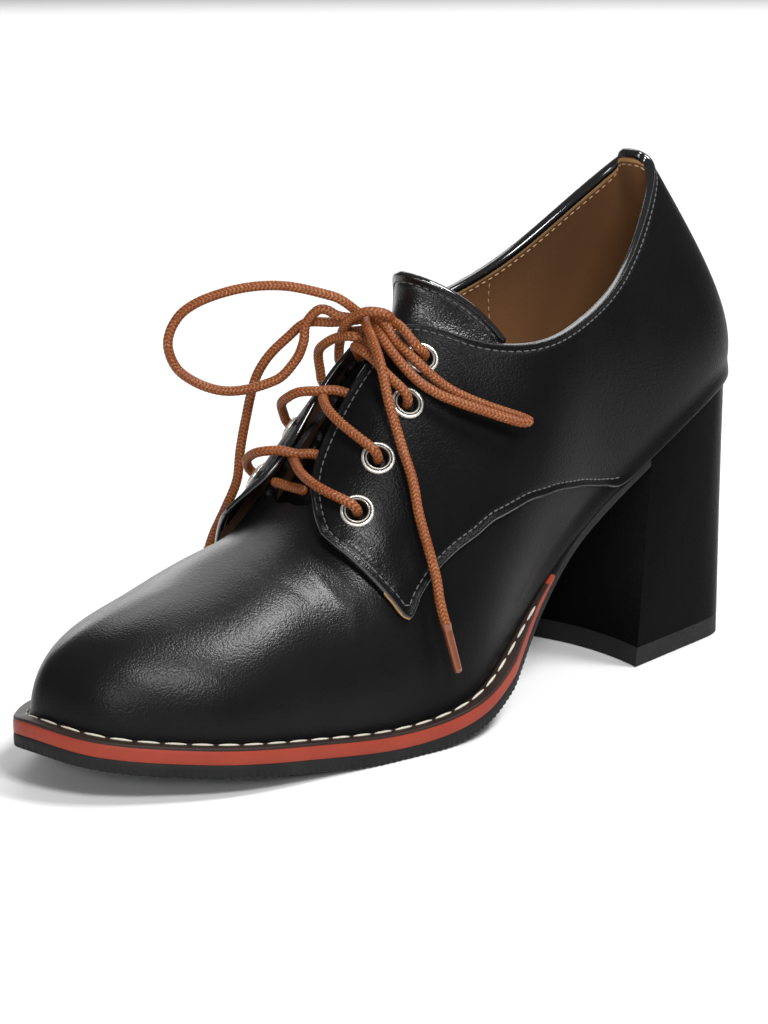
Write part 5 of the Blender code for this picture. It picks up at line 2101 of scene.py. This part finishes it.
TOP_OUTER = (
    (119.8, 14.6, 97.1), (121.0, 12.1, 100.2), (120.8, 8.8, 102.0), (121.5, 5.0, 103.0),
)
TOP_INNER = ((117.4, -14.5, 96.5), (117.6, -10.0, 100.6), (119.0, -4.9, 103.0), (123.0, 0.0, 103.0))
KNOT_CORE = (123.1, -0.1, 102.5)


@dataclass
class Lace:
    """The lace: bar and crossings in the throat, knot, loops and tipped ends."""

    quarters: dict[Side, Quarter]
    braid: Braid = field(default_factory=Braid)
    tip_length: float = 13.0
    tip_lap: float = 2.0
    tip_step: float = 0.4

    def strand(self, k: int, side: Side) -> list[Array]:
        """Route of a strand: up out of its eyelet, over its facing's edge and under the other facing.

        Args:
            k: Number of the eyelet, from the toe end.
            side: Side of the eyelet.

        Returns:
            Its points.
        """
        centre, axis = self.quarters[side].eyelet(EYELETS[k])
        rest = [np.array(p) for p in STRANDS[side][k]]
        run = rest[0] - centre
        run = unit(run - axis * (run @ axis))
        rise = ((-0.3, -2.0), (0.1, 0.5), (0.9, 2.2), (2.7, 3.1))
        return [centre + run * along + axis * up for along, up in rise] + rest

    def build(self) -> list[Piece]:
        """Makes the whole lace."""
        return [self.build_throat(), self.build_knot(), *self.build_bow()]

    def build_throat(self) -> Piece:
        """Bar and crossings."""
        draft = Draft()
        self.braid.tube(draft, smooth_rows(BAR, 80))
        for k in range(len(EYELETS) - 1):
            for side in Side:
                self.braid.tube(draft, smooth_rows(self.strand(k, side), 300))
        obj = draft.piece("lace_crossings", (Palette.cord,), 3.0)
        return settle(obj, ("lace_bar", "lace_cross_1", "lace_cross_2", "lace_cross_3"))

    def build_knot(self) -> Piece:
        """Wrap of the knot and the two strands that lead to it from the top eyelets."""
        draft = Draft()
        ring = np.array(KNOT_RING + KNOT_RING[:3])
        wrap = smooth_rows(ring, 600)
        start = np.argmin(np.linalg.norm(wrap - ring[1], axis=1)[:200])
        stop = 300 + np.argmin(np.linalg.norm(wrap - ring[-2], axis=1)[300:])
        self.braid.tube(draft, wrap[start:stop + 1], closed=True)
        for side, rest in ((Side.OUTER, TOP_OUTER), (Side.INNER, TOP_INNER)):
            centre, axis = self.quarters[side].eyelet(EYELETS[-1])
            rise = [centre + axis * up for up in (-2.0, 0.6, 2.4)]
            self.braid.tube(draft, smooth_rows([*rise, *rest], 200))
        obj = draft.piece("lace_knot_wrap", (Palette.cord,), 3.0)
        return settle(obj, ("lace_knot", "lace_top_outer", "lace_top_inner"))

    def cord(self, node: str, route: Sequence[Sequence[float]], tipped: bool) -> list[Piece]:
        """Args:
            node: CAD node that it stands for.
            route: Its points.
            tipped: Whether it ends in a tip, rather than back in the knot.

        Returns:
            The cord and any tip on it.
        """
        name = node + "_cord"
        path = even(smooth_rows(route, 500), self.braid.step)
        run = run_along(path)
        body = path[run <= run[-1] - self.tip_length + self.tip_lap] if tipped else path
        draft = Draft()
        line = self.braid.tube(draft, body)
        obj = settle(draft.piece(name, (Palette.cord,), 3.0), (node,))
        pieces = [obj]
        if tipped:
            pieces.append(self.tip(name + "_tip", path[run >= run[-1] - self.tip_length]))
        return pieces

    def tip(self, name: str, path: Array) -> Piece:
        """Makes the rolled film tip over the end of a cord.

        Args:
            name: The tip's name.
            path: Its part of the cord's route.

        Returns:
            The new piece.
        """
        line = even(path, self.tip_step)
        t = unit(np.gradient(line, axis=0))
        a = np.linspace(0.0, 2 * np.pi, 24, endpoint=False)
        run = np.arange(len(line)) * self.tip_step
        radius = 1.42 - 0.22 * ease(run, 0.0, 2.0) - 0.12 * ease(run, 2.0, run[-1])
        radius *= np.sqrt(np.maximum(1.0 - (1.0 - np.clip((run[-1] - run) / 0.8, 0, 1)) ** 2, 0.06))
        lap = 0.16 * hump(np.minimum(a, 2 * np.pi - a), 0.0, 0.22)
        draft = Draft()
        grid = looped(draft.add(rings(line, t, radius[:, None] + lap)))
        draft.skin(grid)
        draft.caps(grid, line)
        return settle(draft.piece(name, (Palette.aglet,), 1.0))

    def build_bow(self) -> list[Piece]:
        """Loops and ends of the bow."""
        made = []
        for node, loop in (("lace_loop_outer", LOOP_OUTER), ("lace_loop_inner", LOOP_INNER)):
            made += self.cord(node, (KNOT_CORE, *loop, KNOT_CORE), False)
        for node, end in (("lace_end_outer", END_OUTER), ("lace_end_inner", END_INNER)):
            made += self.cord(node, (KNOT_CORE, *end), True)
        return made


@dataclass
class Stitching:
    """All visible stitch rows of the shoe."""

    quarters: Sequence[Quarter]
    tongue: Tongue
    sole: Sole
    vamp: Vamp

    def build(self) -> list[Piece]:
        """Sews every row."""
        black = Thread(Palette.black_thread)
        pale = Thread(Palette.pale_thread, pitch=6.6, length=5.6, width=0.7, sink=0.12)
        made = [black.sew("stitches_quarter_" + q.word, [q.stitch_row()]) for q in self.quarters]
        made.append(black.sew("stitches_tongue", [self.tongue.stitch_row()]))
        tan = Thread(Palette.tan_thread, pitch=2.3, length=1.5, width=0.4)
        made.append(tan.sew("stitches_lining", [self.vamp.collar_row(), self.vamp.seam_row()]))
        made.append(pale.sew("stitches_welt", [self.sole.stitch_row()]))
        return made


@dataclass(frozen=True)
class Softbox:
    """A soft area light: its place and aim, width and height in metres, and its watts."""

    name: str
    place: tuple[float, float, float]
    size: tuple[float, float]
    power: float
    aim: tuple[float, float, float] = (0.0, -0.05, 0.05)

    def hang(self) -> None:
        """Hangs the light."""
        data = bpy.data.lights.new(self.name, "AREA")
        data.shape = "RECTANGLE"
        data.size, data.size_y = self.size
        data.energy = self.power
        obj = bpy.data.objects.new(self.name, data)
        obj.location = self.place
        obj.rotation_euler = (Vector(self.aim) - Vector(self.place)).to_track_quat("-Z", "Y").to_euler()
        bpy.context.scene.collection.objects.link(obj)


SOFTBOXES = (
    Softbox("key_softbox", (0.85, -0.4, 0.9), (0.36, 0.26), 11.0),
    Softbox("side_softbox", (0.5, 0.4, 1.15), (0.36, 0.3), 11.0),
    Softbox("far_softbox", (-0.75, 0.6, 1.2), (0.9, 0.7), 6.0),
    Softbox("front_softbox", (0.77, -1.2, 0.5), (0.5, 0.3), 7.0),
    Softbox("back_wall", (-1.2, 1.1, 0.5), (1.8, 0.7), 10.0, (0.0, 0.0, 0.1)),
    Softbox("back_top", (-0.9, 1.7, 2.0), (2.5, 2.0), 8.0, (-0.6, 1.2, 0.0)),
)


@dataclass
class Studio:
    """Pale floor, soft lights and the camera at the photograph's angle."""

    azimuth: float = 44.58
    elevation: float = 13.78
    distance: float = 1080.08
    slide: float = 81.92
    rise: float = -29.3
    focal_px: float = 3796.98
    long_side_px: float = 1024.0
    sensor: float = 36.0

    def axes(self) -> tuple[Vector, Vector, Vector]:
        """The camera's right, up and back directions."""
        a, e = math.radians(self.azimuth), math.radians(self.elevation)
        right = Vector((math.cos(a), math.sin(a), 0.0))
        up = Vector((-math.sin(a) * math.sin(e), math.cos(a) * math.sin(e), math.cos(e)))
        back = Vector((math.sin(a) * math.cos(e), -math.cos(a) * math.cos(e), math.sin(e)))
        return right, up, back

    def camera(self) -> None:
        """Sets the camera."""
        right, up, back = self.axes()
        data = bpy.data.cameras.new("camera")
        data.sensor_width = self.sensor
        data.lens = self.focal_px * self.sensor / self.long_side_px
        data.clip_start = 0.05
        data.clip_end = 50.0
        cam = bpy.data.objects.new("camera", data)
        spot = back * self.distance - right * self.slide - up * self.rise
        spot += Vector((-CENTRE_OUT, CENTRE_FWD, 0.0))
        turn = Matrix((right, up, back)).transposed().to_4x4()
        cam.matrix_world = Matrix.Translation(spot * MM) @ turn
        bpy.context.scene.collection.objects.link(cam)
        bpy.context.scene.camera = cam

    def floor(self) -> None:
        """Lays the pale floor."""
        bm = bmesh.new()
        bmesh.ops.create_grid(bm, x_segments=2, y_segments=2, size=6.0)
        obj = placed("floor", bm)
        mat = bpy.data.materials.new("pale_floor")
        mat.use_nodes = True
        looks = {"Base Color": (0.82, 0.82, 0.82, 1.0), "Roughness": 0.9, "Specular IOR Level": 0.1}
        NodeBoard(mat.node_tree).surface(looks)
        obj.data.materials.append(mat)
        obj.location.z = -0.0002

    def build(self) -> None:
        """Sets up floor, lights and camera."""
        self.camera()
        self.floor()
        world = bpy.data.worlds.new("studio")
        world.use_nodes = True
        sky = world.node_tree.nodes["Background"]
        sky.inputs["Color"].default_value = (1.0, 1.0, 1.0, 1.0)
        sky.inputs["Strength"].default_value = 0.2
        bpy.context.scene.world = world
        bpy.context.scene.view_settings.view_transform = "Standard"
        for box in SOFTBOXES:
            box.hang()


def main() -> None:
    """Builds the shoe's looks, piece by piece."""
    logging.basicConfig(level=logging.INFO, format="%(name)s: %(message)s")
    Studio().build()
    form = UpperForm()
    quarters = {side: Quarter(form, side) for side in Side}
    lace = Lace(quarters)
    sole = Sole()
    vamp = Vamp(form)
    tongue = Tongue()
    for quarter in quarters.values():
        quarter.build()
    lace.build()
    vamp.build()
    tongue.build()
    sole.build()
    Heel().build()
    Eyelets(list(quarters.values())).build()
    Stitching(list(quarters.values()), tongue, sole, vamp).build()


if __name__ == "__main__":
    main()
